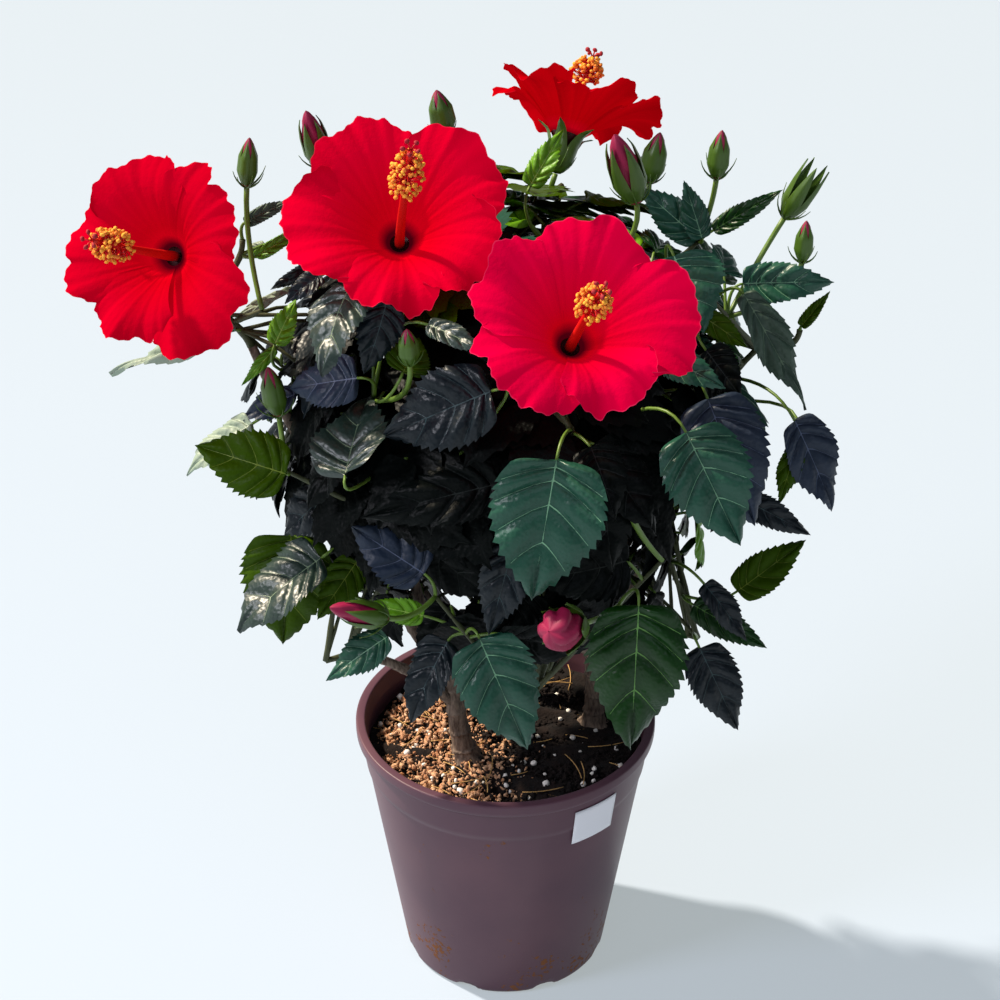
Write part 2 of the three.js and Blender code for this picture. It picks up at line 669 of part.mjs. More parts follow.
for (const row of placedLeaves) {
  const [reach, turn, z] = row.at;
  const at = toward(turn, 0).multiplyScalar(reach).setZ(z);
  const runs = toward(row.head, -row.dip);
  const outward = toward(...faceWays[row.face]);
  const blade = { ...bladeFrame(at, runs, outward), long: row.long, broad: row.broad };
  const points = stalk(planOf(row.mass).twigs, at, runs);
  planOf(row.mass).placed.push({ kind: "leaf", blade, stalk: points });
}
for (const row of blooms) {
  const facing = toward(row.head, row.lift);
  const foot = vec(row.at).addScaledVector(facing, bloomShape.calyx[0][0]);
  const points = stalk(planOf(row.mass).twigs, foot, facing);
  points.push(foot.clone().addScaledVector(facing, bloomShape.stalkIn));
  planOf(row.mass).placed.push({ kind: "bloom", ...row, at: vec(row.at), facing, stalk: points });
}
for (const row of buds) {
  const facing = toward(row.head, row.lift);
  const points = stalk(planOf(row.mass).twigs, vec(row.at), facing);
  planOf(row.mass).placed.push({ kind: "bud", ...row, at: vec(row.at), facing, stalk: points });
}

// What a leaf of the rule keeps away from: groups of points, each with its owner and the room it wants.
const kept = [];
const keep = (own, points, near, far) => {
  const middle = points.reduce((a, b) => a.clone().add(b)).divideScalar(points.length);
  const size = Math.max(...points.map((p) => p.distanceTo(middle)));
  kept.push({ own, points, near, far, middle, size });
};
for (const line of limbLines) keep(null, line.points, 0, clearance.limb);
for (const { own, twigs, placed } of plan) {
  for (const twig of twigs) keep(own, beads(twig.points), clearance.twig, clearance.other);
  for (const item of placed) {
    keep(own, beads(item.stalk), clearance.twig, clearance.other);
    if (item.kind === "leaf") {
      keep(own, bladePoints(item.blade), clearance.own, clearance.other);
      const before = onBlade(item.blade, 0.5, 0, clearance.guardOut);
      const guard = clearance.guard * item.blade.long;
      keep(own, [before], guard, guard);
    }
    if (item.kind === "bud") {
      const middle = item.at.clone().addScaledVector(item.facing, item.long / 2);
      keep(own, [middle], item.long / 2, item.long / 2);
    }
    if (item.kind === "bloom") {
      const middle = item.at.clone().addScaledVector(item.facing, item.radius / 2);
      keep(own, [middle], clearance.bloom, clearance.bloom);
    }
  }
}

// A leaf of the rule stands in its mass's space, inside the crown, and clear of all that is kept.
function leafFits(blade, own) {
  const middle = onBlade(blade, 0.5, 0);
  if (depthIn(middle, own) < clearance.space) return false;
  const strays = (p) => depthIn(p, own) < -clearance.overhang || inCrown(p) > 1;
  if (bladeCorners(blade).some(strays)) return false;
  const points = bladePoints(blade);
  return kept.every((group) => {
    const room = group.own === own ? group.near : group.far;
    const span = group.size + room + clearance.half * blade.long;
    if (group.middle.distanceTo(middle) > span) return true;
    return !nearer(points, group.points, room);
  });
}

// A leaf of the rule at a node: the stalk goes out by its turn, the blade hangs down and outward.
function ruleBlade(node, way, turn, drawn, young) {
  const outward = node.clone().sub(vec(crown.centre)).normalize();
  const stalkWay = squared(toward(turn, 0), way)
    .multiplyScalar(leaf.stalkAway)
    .addScaledVector(outward, leaf.stalkOut)
    .addScaledVector(up, leaf.stalkUp)
    .normalize();
  const base = node.clone().addScaledVector(stalkWay, mix(...leaf.petiole, drawn.reach) * young);
  const face = outward.clone().multiplyScalar(leaf.faceOut);
  face.addScaledVector(up, mix(...leaf.faceUp, drawn.tilt)).normalize();
  const runs = squared(stalkWay.addScaledVector(up, -leaf.hang), face);
  const long = mix(...leaf.long, drawn.size) * young;
  return { ...bladeFrame(base, runs, face), long, broad: mix(...leaf.broad, drawn.wide) };
}

// Leaves of one twig, from its tip down: turned by the golden angle, young ones small. A leaf that
// doesn't fit is turned on and made a little smaller, and at last skipped.
function growLeaves(entry, twig, roll) {
  const span = lineLength(twig.points);
  for (let k = 0; k < leaf.each; k++) {
    const drawn = { turn: roll(), size: roll(), wide: roll(), reach: roll(), tilt: roll() };
    const share = 1 - (leaf.first + leaf.space * k) / span;
    if (share < leaf.lowest) continue;
    const { point: node, way } = onLine(twig.points, share);
    const grown = mix(leaf.youngest, 1, Math.min(1, (k + 1) / leaf.youngCount));
    for (let attempt = 0; attempt < leaf.tries; attempt++) {
      const turn = goldenTurn * k + leaf.scatter * drawn.turn + leaf.tryTurn * attempt;
      const blade = ruleBlade(node, way, turn, drawn, grown * leaf.tryShrink ** attempt);
      if (!leafFits(blade, entry.own)) continue;
      keep(entry.own, bladePoints(blade), clearance.own, clearance.other);
      entry.leaves.push({ blade, stalk: [node, blade.base] });
      break;
    }
  }
}

for (const entry of plan) {
  const roll = dice(leaf.seed * (entry.own + 1));
  for (const twig of entry.twigs) growLeaves(entry, twig, roll);
}

// ---- solids of the masses ----

const evenly = (radii, count) =>
  Array.from({ length: count }, (_, k) => mix(radii[0], radii[1], k / (count - 1)));

const twigSolid = (twig) => limb(twig.points, evenly(twig.radii, twig.points.length), twig.sides);
const stalkSolid = (points, radius) => limb(points, points.map(() => radius), 3);

// A flower in one piece about the way it faces: cup, underside and face of the petals, column, head.
function bloomSolid(bloom) {
  const { calyx, column, head, depth, curl, lobe, thick, spokes, waist, slim } = bloomShape;
  const reach = bloomShape.columnLong * bloom.radius;
  const petal = (share, lift) => [
    bloom.radius * depth * Math.sin(rad(curl) * share) + lift,
    bloom.radius * share,
    lobe * share,
  ];
  const sections = [
    ...calyx,
    petal(waist, -thick / 2),
    petal(1, -thick / 2),
    petal(1, thick / 2),
    petal(waist, thick / 2),
    ...column,
    [reach + head[0][0], bloomShape.columnRadius],
    ...head.map(([h, r]) => [reach + h, r]),
  ];
  const side = squared(up, bloom.facing);
  const other = bloom.facing.clone().cross(side);
  const corners = [];
  for (const [h, r, lobed = 0] of sections) {
    const rise = r < slim ? bloomShape.columnRise * Math.max(0, h) ** 2 / reach : 0;
    for (let k = 0; k < spokes; k++) {
      const a = (2 * Math.PI * k) / spokes + rad(bloom.roll);
      const far = r * (1 + (k % 2 ? -lobed : lobed));
      corners.push(
        bloom.at
          .clone()
          .addScaledVector(bloom.facing, h)
          .addScaledVector(side, far * Math.cos(a) + rise)
          .addScaledVector(other, far * Math.sin(a)),
      );
    }
  }
  const last = (sections.length - 1) * spokes;
  const faces = ringFaces(sections.length, spokes);
  for (let k = 1; k < spokes - 1; k++) faces.push([0, k + 1, k], [last, last + k, last + k + 1]);
  return solidOf(geometryOf(corners, faces));
}

const bloomSolids = (bloom) => [stalkSolid(bloom.stalk, bloomShape.stalkRadius), bloomSolid(bloom)];

// A bud in one piece with its stalk.
function budSolid(bud) {
  const rows = budShape.rows.map((t) => bud.at.clone().addScaledVector(bud.facing, bud.long * t));
  const stem = bud.stalk.slice(0, -1); // the last point is the bud's own foot
  const radii = [...stem.map(() => bloomShape.stalkRadius), ...budShape.widths.map((w) => w * bud.radius)];
  return limb([...stem, ...rows], radii, budShape.sides);
}

const solidsOf = { leaf: (item) => [leafSolid(item)], bloom: bloomSolids, bud: (item) => [budSolid(item)] };
const frames = plan.map(({ twigs, placed }) =>
  joined([...twigs.map(twigSolid), ...placed.flatMap((item) => solidsOf[item.kind](item))]),
);

// Leaves of the rule that clear every limb and all that other masses hold; the rest are skipped.
const standing = [
  ...Object.values(stems).map((s) => ({ own: null, solid: stemSolid(s, gap) })),
  ...masses.map((m) => ({ own: null, solid: boughSolid(m, gap) })),
  ...frames.map((solid, own) => ({ own, solid })),
];
const clears = (solid, own) =>
  standing.every((other) => other.own === own || other.solid.intersect(solid).isEmpty());
const massSolids = plan.map(({ own, leaves }) => {
  const kept = leaves.map(leafSolid).filter((solid) => clears(solid, own));
  standing.push(...kept.map((solid) => ({ own, solid })));
  return joined([frames[own], ...kept]);
});

// ---- the object ----

const plant = new THREE.Group();
plant.add(meshOf("pot", potSolid(), colours.pot));
plant.add(meshOf("soil", soilSolid(), colours.soil));
plant.add(meshOf("label", labelSolid(), colours.label));
for (const [name, s] of Object.entries(stems)) plant.add(meshOf(name, stemSolid(s, 0), colours.bark));
for (const mass of masses) plant.add(meshOf("bough_" + mass.name, boughSolid(mass, 0), colours.bark));
masses.forEach((mass, own) =>
  plant.add(meshOf("foliage_" + mass.name, massSolids[own], colours.leaves)),
);

export default plant;
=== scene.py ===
import bpy
import numpy as np
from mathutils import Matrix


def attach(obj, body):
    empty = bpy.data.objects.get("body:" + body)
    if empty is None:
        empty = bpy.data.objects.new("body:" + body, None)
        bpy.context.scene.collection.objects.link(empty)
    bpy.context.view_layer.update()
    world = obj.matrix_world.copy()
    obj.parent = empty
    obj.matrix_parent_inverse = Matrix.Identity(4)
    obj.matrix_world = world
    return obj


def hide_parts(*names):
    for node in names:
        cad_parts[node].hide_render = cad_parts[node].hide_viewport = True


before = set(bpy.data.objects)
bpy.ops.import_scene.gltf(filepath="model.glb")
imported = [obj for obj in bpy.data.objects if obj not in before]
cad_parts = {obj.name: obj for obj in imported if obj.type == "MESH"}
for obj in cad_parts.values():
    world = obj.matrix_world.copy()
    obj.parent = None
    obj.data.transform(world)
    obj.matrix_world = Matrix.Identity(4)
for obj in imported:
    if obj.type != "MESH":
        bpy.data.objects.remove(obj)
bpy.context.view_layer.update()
nodeNames = list(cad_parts)
rng = np.random.default_rng(11)
up = np.array([0.0, 0.0, 1.0])
goldenTurn = 137.508
gap = 0.3

# ---- camera, light and floor ----

view = {
    "target": (-3.55, 0.0, 342.3),  # millimetres
    "distance": 1600.0,
    "lift": 31.75,  # degrees above the level
    "lens": 94.0,
    "sensor": 36,
    "clip": (0.05, 30),  # metres
}
studio = {
    "floor": "8792a4",
    "floorGlow": ("e7f0ee", 0.45),
    "world": "dfe9f5",
    "worldStrength": 0.2,
    "aim": (0, 0, 0.38),  # metres, where the lamps look
    # the sun, low behind the left shoulder of the plant: heading, lift and softness in degrees
    "sun": {"head": 153, "lift": 47, "strength": 7.0, "angle": 3.0, "tint": "fff0d8"},
    # name: place in metres, watts, side of the lamp, colour
    "lamps": {
        "window": ((-1.55, -0.85, 1.5), 21, 0.5, "f4f4ff"),
        "sky": ((0.35, -1.6, 2.2), 9, 1.6, "e2edff"),
    },
}


# The sRGB hex colour as linear red, green, blue and alpha.
def linear(code, alpha=1.0):
    c = np.array([int(code[k : k + 2], 16) for k in (0, 2, 4)]) / 255
    low, high = c / 12.92, ((c + 0.055) / 1.055) ** 2.4
    return (*np.where(c <= 0.04045, low, high).tolist(), alpha)


# A camera on a sphere round the target, looking at it.
def placeCamera():
    lift = np.radians(view["lift"])
    data = bpy.data.cameras.new("camera")
    data.lens, data.sensor_width = view["lens"], view["sensor"]
    data.clip_start, data.clip_end = view["clip"]
    cam = bpy.data.objects.new("camera", data)
    away = np.array([0, -np.cos(lift), np.sin(lift)]) * view["distance"]
    cam.location = (np.array(view["target"]) + away) / 1000
    cam.rotation_euler = (np.pi / 2 - lift, 0, 0)
    bpy.context.scene.collection.objects.link(cam)
    bpy.context.scene.camera = cam


# One node with its inputs and links: values by socket name, links by socket name from (node, output).
def addNode(tree, kind, links=None, attributes=None, **values):
    node = tree.nodes.new(kind)
    for name, value in (attributes or {}).items():
        setattr(node, name, value)
    for name, value in values.items():
        node.inputs[name.replace("_", " ")].default_value = value
    for name, (source, output) in (links or {}).items():
        tree.links.new(source.outputs[output], node.inputs[name])
    return node


# A new material: its tree, cleared but for a Principled shader with these values.
def newMaterial(name, **values):
    material = bpy.data.materials.new(name)
    material.use_nodes = True
    shader = material.node_tree.nodes["Principled BSDF"]
    for key, value in values.items():
        shader.inputs[key.replace("_", " ")].default_value = value
    material.diffuse_color = shader.inputs["Base Color"].default_value
    return material, material.node_tree, shader


# Links into a node's sockets by name, each from (node, output).
def feed(tree, node, **links):
    for name, (source, output) in links.items():
        tree.links.new(source.outputs[output], node.inputs[name.replace("_", " ")])


# Noise on the object's own coordinates, its grains this many millimetres wide.
def addNoise(tree, size, **values):
    place = addNode(tree, "ShaderNodeTexCoord")
    return addNode(tree, "ShaderNodeTexNoise", {"Vector": (place, "Object")}, Scale=1000 / size, **values)


# Colours at stops over a noise or a value.
def addRamp(tree, source, stops):
    ramp = addNode(tree, "ShaderNodeValToRGB", {"Fac": (source, "Fac")})
    while len(ramp.color_ramp.elements) < len(stops):
        ramp.color_ramp.elements.new(0.5)
    for element, (stop, code) in zip(ramp.color_ramp.elements, stops):
        element.position, element.color = stop, linear(code)
    return ramp


# Relief from a height, with this strength and depth in millimetres, on the shader's surface.
def addBump(tree, shader, height, strength, depth, **links):
    links["Height"] = height
    bump = addNode(tree, "ShaderNodeBump", links, Strength=strength, Distance=depth / 1000)
    feed(tree, shader, Normal=(bump, "Normal"))
    return bump


# The product of two outputs, or of one and a number.
def addProduct(tree, first, second):
    node = addNode(tree, "ShaderNodeMath", attributes={"operation": "MULTIPLY"})
    tree.links.new(first[0].outputs[first[1]], node.inputs[0])
    if isinstance(second, float):
        node.inputs[1].default_value = second
    else:
        tree.links.new(second[0].outputs[second[1]], node.inputs[1])
    return node


placeCamera()
world = bpy.data.worlds.new("studio")
world.use_nodes = True
world.node_tree.nodes["Background"].inputs["Color"].default_value = linear(studio["world"])
world.node_tree.nodes["Background"].inputs["Strength"].default_value = studio["worldStrength"]
bpy.context.scene.world = world
bpy.context.scene.view_settings.view_transform = "Standard"
for lampName, (place, watts, side, tint) in studio["lamps"].items():
    lampData = bpy.data.lights.new(lampName, "AREA")
    lampData.energy, lampData.size, lampData.color = watts, side, linear(tint)[:3]
    lamp = bpy.data.objects.new(lampName, lampData)
    lamp.location = place
    aim = np.array(studio["aim"]) - np.array(place)
    lamp.rotation_euler = (np.arctan2(np.hypot(aim[0], aim[1]), -aim[2]), 0, np.arctan2(-aim[0], aim[1]))
    bpy.context.scene.collection.objects.link(lamp)
sunData = bpy.data.lights.new("sun", "SUN")
sunData.energy, sunData.angle = studio["sun"]["strength"], np.radians(studio["sun"]["angle"])
sunData.color = linear(studio["sun"]["tint"])[:3]
sun = bpy.data.objects.new("sun", sunData)
sunTurn = np.radians(studio["sun"]["head"])
sun.rotation_euler = (np.radians(90 - studio["sun"]["lift"]), 0, sunTurn + np.pi / 2)
bpy.context.scene.collection.objects.link(sun)
print("camera and lamps placed")

# ---- meshes from arrays ----


# One object from parts (points, faces, material slot, attribute): arrays joined, faces as fours, a
# repeated last corner makes a triangle. Points are millimetres; the mesh is metres.
def buildPiece(name, parts, materials, standsFor=(), smooth=True):
    points, loops, totals, slots, values, folds = [], [], [], [], [], []
    start = 0
    for part in parts:
        p, f = np.asarray(part["points"], float).reshape(-1, 3), np.asarray(part["faces"])
        three = f[:, 3] == f[:, 2]
        keepMask = np.ones(f.shape, bool)
        keepMask[three, 3] = False
        loops.append((f + start)[keepMask])
        totals.append(np.where(three, 3, 4))
        slots.append(np.full(len(f), part.get("slot", 0)))
        values.append(np.resize(np.asarray(part.get("value", 0.0), float).ravel(), len(p)))
        # fold: painted shade that scales the petals' painted glow, 1 where a part has none
        folds.append(np.resize(np.asarray(part.get("fold", 1.0), float).ravel(), len(p)))
        points.append(p)
        start += len(p)
    points, loops, totals = np.concatenate(points), np.concatenate(loops), np.concatenate(totals)
    mesh = bpy.data.meshes.new(name)
    mesh.vertices.add(len(points))
    mesh.vertices.foreach_set("co", (points / 1000).ravel())
    mesh.loops.add(len(loops))
    mesh.loops.foreach_set("vertex_index", loops.astype(np.int32))
    mesh.polygons.add(len(totals))
    mesh.polygons.foreach_set("loop_start", np.concatenate([[0], np.cumsum(totals)[:-1]]).astype(np.int32))
    mesh.polygons.foreach_set("loop_total", totals.astype(np.int32))
    mesh.polygons.foreach_set("material_index", np.concatenate(slots).astype(np.int32))
    mesh.polygons.foreach_set("use_smooth", np.full(len(totals), smooth))
    for layerName, column in (("share", values), ("fold", folds)):
        layer = mesh.attributes.new(layerName, "FLOAT", "POINT")
        layer.data.foreach_set("value", np.concatenate(column).astype(np.float32))
    for material in materials:
        mesh.materials.append(material)
    mesh.update(calc_edges=True)
    mesh.validate()
    piece = bpy.data.objects.new(name, mesh)
    bpy.context.scene.collection.objects.link(piece)
    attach(piece, "root")
    if standsFor:
        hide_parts(*standsFor)
    return piece


# Points by radius, turn and height.
def polar(r, a, h):
    r, a, h = np.broadcast_arrays(r, a, h)
    return np.stack([r * np.cos(a), r * np.sin(a), h], -1)


# Faces of n grids of rows by columns; wrapped grids join the last column to the first.
def gridFaces(n, rows, columns, wrap=False):
    across = columns if wrap else columns - 1
    r, c = np.meshgrid(np.arange(rows - 1), np.arange(across), indexing="ij")
    r, c = r.ravel(), c.ravel()
    d = (c + 1) % columns
    one = np.stack([r * columns + c, r * columns + d, (r + 1) * columns + d, (r + 1) * columns + c], 1)
    return (one[None] + (np.arange(n) * rows * columns)[:, None, None]).reshape(-1, 4)


# A part from one grid of points.
def sheet(points, wrap=False, **more):
    return {"points": points, "faces": gridFaces(1, *points.shape[:2], wrap), **more}


# Fans that close the first and last ring of n wrapped grids, each round a pole at the ring's middle.
def capFaces(n, rows, columns, poleStart):
    c = np.arange(columns)
    d = (c + 1) % columns
    k = np.arange(n)[:, None]
    foot = k * rows * columns
    top = foot + (rows - 1) * columns
    poleA, poleB = poleStart + 2 * k + 0 * c, poleStart + 2 * k + 1 + 0 * c
    first = np.stack([foot + d, foot + c, poleA, poleA], 2).reshape(-1, 4)
    last = np.stack([top + c, top + d, poleB, poleB], 2).reshape(-1, 4)
    return np.concatenate([first, last])


# Tubes round n paths of the same count of points: rings square to the path, radii for each point and
# side, and a pole at each end.
def tubes(paths, radii, sides, value=0.0, slot=0, bulge=None):
    paths = np.asarray(paths, float)
    n, rows, _ = paths.shape
    ways = np.gradient(paths, axis=1)
    ways /= np.linalg.norm(ways, axis=2, keepdims=True) + 1e-9
    mean = ways.mean(1)
    axes = np.eye(3)[np.argmin(np.abs(mean), axis=1)][:, None]
    side = np.cross(axes, ways)
    side /= np.linalg.norm(side, axis=2, keepdims=True)
    other = np.cross(ways, side)
    a = 2 * np.pi * np.arange(sides) / sides
    r = np.broadcast_to(np.asarray(radii, float), (n, rows))[:, :, None] * np.ones(sides)
    if bulge is not None:
        r = r * bulge
    ring = paths[:, :, None] + (r * np.cos(a))[..., None] * side[:, :, None]
    ring = ring + (r * np.sin(a))[..., None] * other[:, :, None]
    poles = np.stack([paths[:, 0], paths[:, -1]], 1).reshape(-1, 3)
    points = np.concatenate([ring.reshape(-1, 3), poles])
    faces = np.concatenate([gridFaces(n, rows, sides, True), capFaces(n, rows, sides, n * rows * sides)])
    shares = np.broadcast_to(np.asarray(value, float), (n, rows))[:, :, None] * np.ones(sides)
    ends = np.stack([shares[:, 0, 0], shares[:, -1, 0]], 1).ravel()
    return {"points": points, "faces": faces, "value": np.concatenate([shares.ravel(), ends]), "slot": slot}


# Small solid lumps at n places: a low ball scaled along three axes and turned at random, made rough.
def lumps(places, sizes, rings=4, sides=6, rough=0.0, slot=0, seed=5):
    places, sizes = np.asarray(places, float), np.asarray(sizes, float)
    n = len(places)
    d = np.random.default_rng(seed)
    t = np.linspace(0, np.pi, rings + 1)[1:-1, None]
    ball = polar(np.sin(t), 2 * np.pi * np.arange(sides) / sides, np.cos(t)).reshape(-1, 3)
    ball = np.concatenate([ball, [[0, 0, 1], [0, 0, -1]]])
    shape = ball[None] * sizes[:, None] * (1 + rough * d.uniform(-1, 1, (n, len(ball), 1)))
    q, _ = np.linalg.qr(d.normal(size=(n, 3, 3)))
    turns = q * np.sign(np.linalg.det(q))[:, None, None]
    points = np.einsum("nij,nkj->nki", turns, shape) + places[:, None]
    rows = rings - 1
    c = np.arange(sides)
    after, pole, last = (c + 1) % sides, np.full(sides, rows * sides), (rows - 1) * sides
    side = gridFaces(1, rows, sides, True)[:, ::-1]
    top = np.stack([c, after, pole, pole], 1)
    foot = np.stack([last + after, last + c, pole + 1, pole + 1], 1)
    one = np.concatenate([side, top, foot])
    faces = (one[None] + (np.arange(n) * len(ball))[:, None, None]).reshape(-1, 4)
    return {"points": points, "faces": faces, "slot": slot}


# ---- the growth rule ----

stems = {
    "stem_left": {"foot": (-25, -20), "top": (-36, -18, 262), "radii": (6.6, 4.6), "bend": -5},
    "stem_right": {"foot": (57, 13), "top": (50, 2, 265), "radii": (6.4, 4.5), "bend": 6},
    "stem_back": {"foot": (0, 50), "top": (8, 55, 268), "radii": (7, 4.8), "bend": 4},
}
soil = {"top": 160.0, "radius": 86.0, "rough": 3.2, "crumbs": 5200, "perlite": 90, "fibres": 60}
# name, stem, share of the stem where its bough leaves, share of the way to the seed, seed
masses = [
    ("low_left", "stem_left", 0.42, 0.62, (-110, -55, 285)),
    ("left", "stem_left", 0.57, 0.6, (-135, 10, 400)),
    ("front_left", "stem_left", 0.72, 0.66, (-70, -90, 410)),
    ("outer_left", "stem_left", 0.84, 0.8, (-176, -22, 515)),
    ("top_left", "stem_left", 1, 0.72, (-70, -28, 533)),
    ("low_right", "stem_right", 0.42, 0.6, (118, -38, 290)),
    ("low_front", "stem_right", 0.56, 0.6, (12, -108, 290)),
    ("right", "stem_right", 0.7, 0.66, (150, 12, 465)),
    ("front", "stem_right", 0.82, 0.66, (36, -106, 478)),
    ("top_right", "stem_right", 1, 0.7, (94, 4, 522)),
    ("low_back", "stem_back", 0.42, 0.6, (5, 118, 290)),
    ("back_left", "stem_back", 0.6, 0.62, (-85, 100, 415)),
    ("back_right", "stem_back", 0.8, 0.62, (95, 108, 405)),
    ("top_back", "stem_back", 1, 0.7, (34, 84, 538)),
]
massNames = [row[0] for row in masses]
seeds = np.array([row[4] for row in masses], float)
bough = {"radii": (4.3, 2.7), "out": 0.3, "rise": 0.42, "rings": 4}
crown = {"centre": np.array([0, 0, 398.0]), "half": np.array([168, 156, 166.0])}
shoot = {
    "count": 5, "spread": 48, "lowest": -0.7, "reach": 0.68, "below": 24, "bend": 0.4,
    "rise": 0.2, "climb": 1.5, "arrive": 0.45, "rings": 3, "deep": 4, "inward": 0, "longest": 400,
    "radii": (1.9, 1.2), "coreRadii": (2.6, 1.8),
}
leaf = {
    "seed": 7919, "each": 6, "first": 4, "space": 15, "lowest": 0.12, "scatter": 40,
    "long": (58, 84), "youngest": 0.55, "youngCount": 3, "broad": (0.68, 0.84),
    "petiole": (18, 40), "droop": 0.16, "fold": 0.1, "faceOut": 0.8,
    "faceUp": (0.3, 0.6), "stalkAway": 0.8, "stalkOut": 0.5, "stalkUp": 0.25, "hang": 0.8, "stalkBow": 2,
    "tries": 9, "tryTurn": 51, "tryShrink": 0.95, "reach": 1.0,
}
clearance = {
    "own": 6, "other": 8, "twig": 5, "twigToLimb": 8, "limb": 9, "space": 2, "overhang": 20,
    "bloom": 56, "guard": 0.36, "guardOut": 20, "beads": 6, "ease": 1.0,
}
# The finer growth that fills the crown's inside: more shoots to a mass, smaller leaves, less room.
fineShoot = {**shoot, "count": 15, "spread": 44, "reach": 0.66, "radii": (1.3, 0.8)}
innerShoot = {**fineShoot, "count": 18, "spread": 58, "deep": -60, "inward": 0.5, "longest": 92}
fineLeaf = {
    **leaf, "seed": 104729, "each": 6, "space": 11, "long": (50, 76), "petiole": (8, 28),
    "tries": 7, "reach": 0.9,
}
fineRoom = {"own": 3, "other": 3, "space": -30, "overhang": 60, "ease": 0.6}

# Ways that placed leaves look: heading and lift.
faceWays = {"front": (-90, 35), "sun": (-140, 57), "left": (-115, 40), "right": (-68, 38)}
# Leaves with a place of their own: mass, reach, turn, height, length, heading, dip, breadth, the
# way the face looks, tint.
placedLeaves = [
    ("front", 143, -79, 455, 83, -116, 68, 0.88, "front", "teal"),
    ("front", 154, -50, 459, 71, -42, 53, 0.78, "front", "teal"),
    ("right", 140, -36, 460, 79, -46, 58, 0.68, "front", "slate"),
    ("right", 173, -13, 421, 62, -32, 57, 0.62, "right", "slate"),
    ("low_front", 159, -62, 359, 92, -96, 74, 0.7, "front", "green"),
    ("low_front", 126, -97, 326, 77, -40, 60, 0.71, "front", "teal"),
    ("low_front", 110, -108, 310, 56, -144, 53, 0.6, "left", "night"),
    ("low_left", 134, -144, 351, 66, -162, 31, 0.82, "sun", "gloss"),
    ("low_left", 137, -159, 349, 77, -117, 76, 0.82, "front", "olive"),
    ("low_left", 105, -132, 295, 47, -163, 28, 0.56, "left", "teal"),
    ("low_front", 116, -114, 358, 50, 169, -33, 0.76, "front", "slate"),
    ("low_front", 118, -92, 426, 79, -168, 8, 0.48, "front", "shade"),
    ("low_front", 120, -88, 387, 58, -129, 66, 0.56, "front", "night"),
    ("front_left", 118, -94, 485, 73, 175, 27, 0.69, "front", "night"),
    ("front_left", 149, -127, 432, 61, 81, -26, 0.83, "sun", "gloss"),
    ("front_left", 118, -135, 474, 47, 162, 16, 0.74, "left", "slate"),
    ("left", 127, -161, 441, 53, 175, 26, 0.44, "sun", "slate"),
    ("front_left", 116, -138, 528, 52, -116, 31, 0.78, "sun", "gloss"),
    ("front_left", 107, -128, 522, 43, -125, 63, 0.66, "right", "night"),
    ("front_left", 101, -115, 512, 37, -41, -1, 0.45, "sun", "gloss"),
    ("front_left", 111, -121, 484, 22, 54, -47, 1.31, "front", "olive"),
    ("front_left", 153, -145, 414, 57, 166, -12, 0.76, "front", "olive"),
    ("left", 155, -162, 424, 50, -167, 30, 0.54, "sun", "silver"),
    ("outer_left", 158, -171, 473, 86, 173, 20, 0.22, "sun", "silver"),
    ("left", 139, -162, 474, 29, 18, -64, 0.59, "front", "bright"),
    ("top_left", 119, -150, 526, 25, -150, 20, 0.65, "left", "night"),
    ("top_right", 99, -16, 522, 48, -65, 38, 1.09, "front", "teal"),
    ("right", 138, -2, 493, 51, -16, -11, 0.56, "front", "teal"),
    ("right", 139, -13, 500, 77, -34, 50, 0.34, "right", "sage"),
    ("right", 117, -23, 496, 36, -25, 25, 0.47, "front", "olive"),
    ("right", 128, -28, 479, 33, -43, 36, 0.8, "front", "shade"),
    ("front", 123, -48, 495, 43, -29, 13, 0.54, "front", "teal"),
    ("top_right", 115, 12, 508, 47, 164, -40, 0.55, "front", "teal"),
    ("top_right", 123, 9, 516, 47, -19, -39, 0.3, "right", "green"),
    ("top_back", 33, 65, 539, 39, 36, -52, 0.45, "front", "bright"),
    ("right", 176, -14, 409, 40, -120, 59, 0.44, "right", "olive"),
    ("low_right", 149, -22, 378, 46, -22, 18, 0.44, "front", "night"),
    ("low_right", 147, -17, 304, 51, 6, -40, 0.55, "front", "olive"),
    ("low_right", 135, -29, 324, 45, -26, 44, 0.45, "right", "night"),
    ("low_right", 124, -24, 299, 54, -14, 27, 0.42, "front", "green"),
    ("low_right", 136, -31, 281, 62, -28, 61, 0.58, "front", "night"),
    ("low_left", 110, -143, 341, 43, -144, 45, 0.63, "front", "olive"),
    ("low_front", 114, -115, 327, 35, -169, -21, 0.5, "front", "bright"),
]
# Tips of shoots that carry placed leaves and buds: mass, place.
spurs = [
    ("low_front", (89, -112, 371)),
    ("low_front", (-41, -104, 341)),
    ("front_left", (-127, -80, 412)),
    ("top_right", (113, 24, 506)),
    ("right", (119, -20, 490)),
    ("outer_left", (-140, -30, 489)),
]
# Small leaves and bare side stems that the finer growth adds at the crown's edge, in the same form.
smallLeaves = [
    ("outer_left", 150, 180, 530, 31, -9, -32, 0.35, "front", "sage"),
    ("outer_left", 144, -178, 511, 38, -11, -36, 0.26, "front", "bright"),
    ("outer_left", 140, 178, 513, 20, 166, 33, 0.49, "front", "silver"),
    ("left", 106, -171, 513, 41, 174, 29, 0.28, "front", "night"),
    ("left", 119, -176, 492, 45, -172, 16, 0.21, "sun", "silver"),
    ("left", 137, -166, 466, 32, -165, 44, 0.27, "front", "bright"),
    ("right", 174, 0, 463, 27, -26, -59, 0.36, "front", "olive"),
    ("top_right", 116, 9, 511, 35, 142, -68, 0.54, "front", "teal"),
]
bareStems = [("outer_left", (-152, -2, 520)), ("right", (173, 0, 460))]
bareRadii = (2.2, 1.7)
stalkSteps = 8
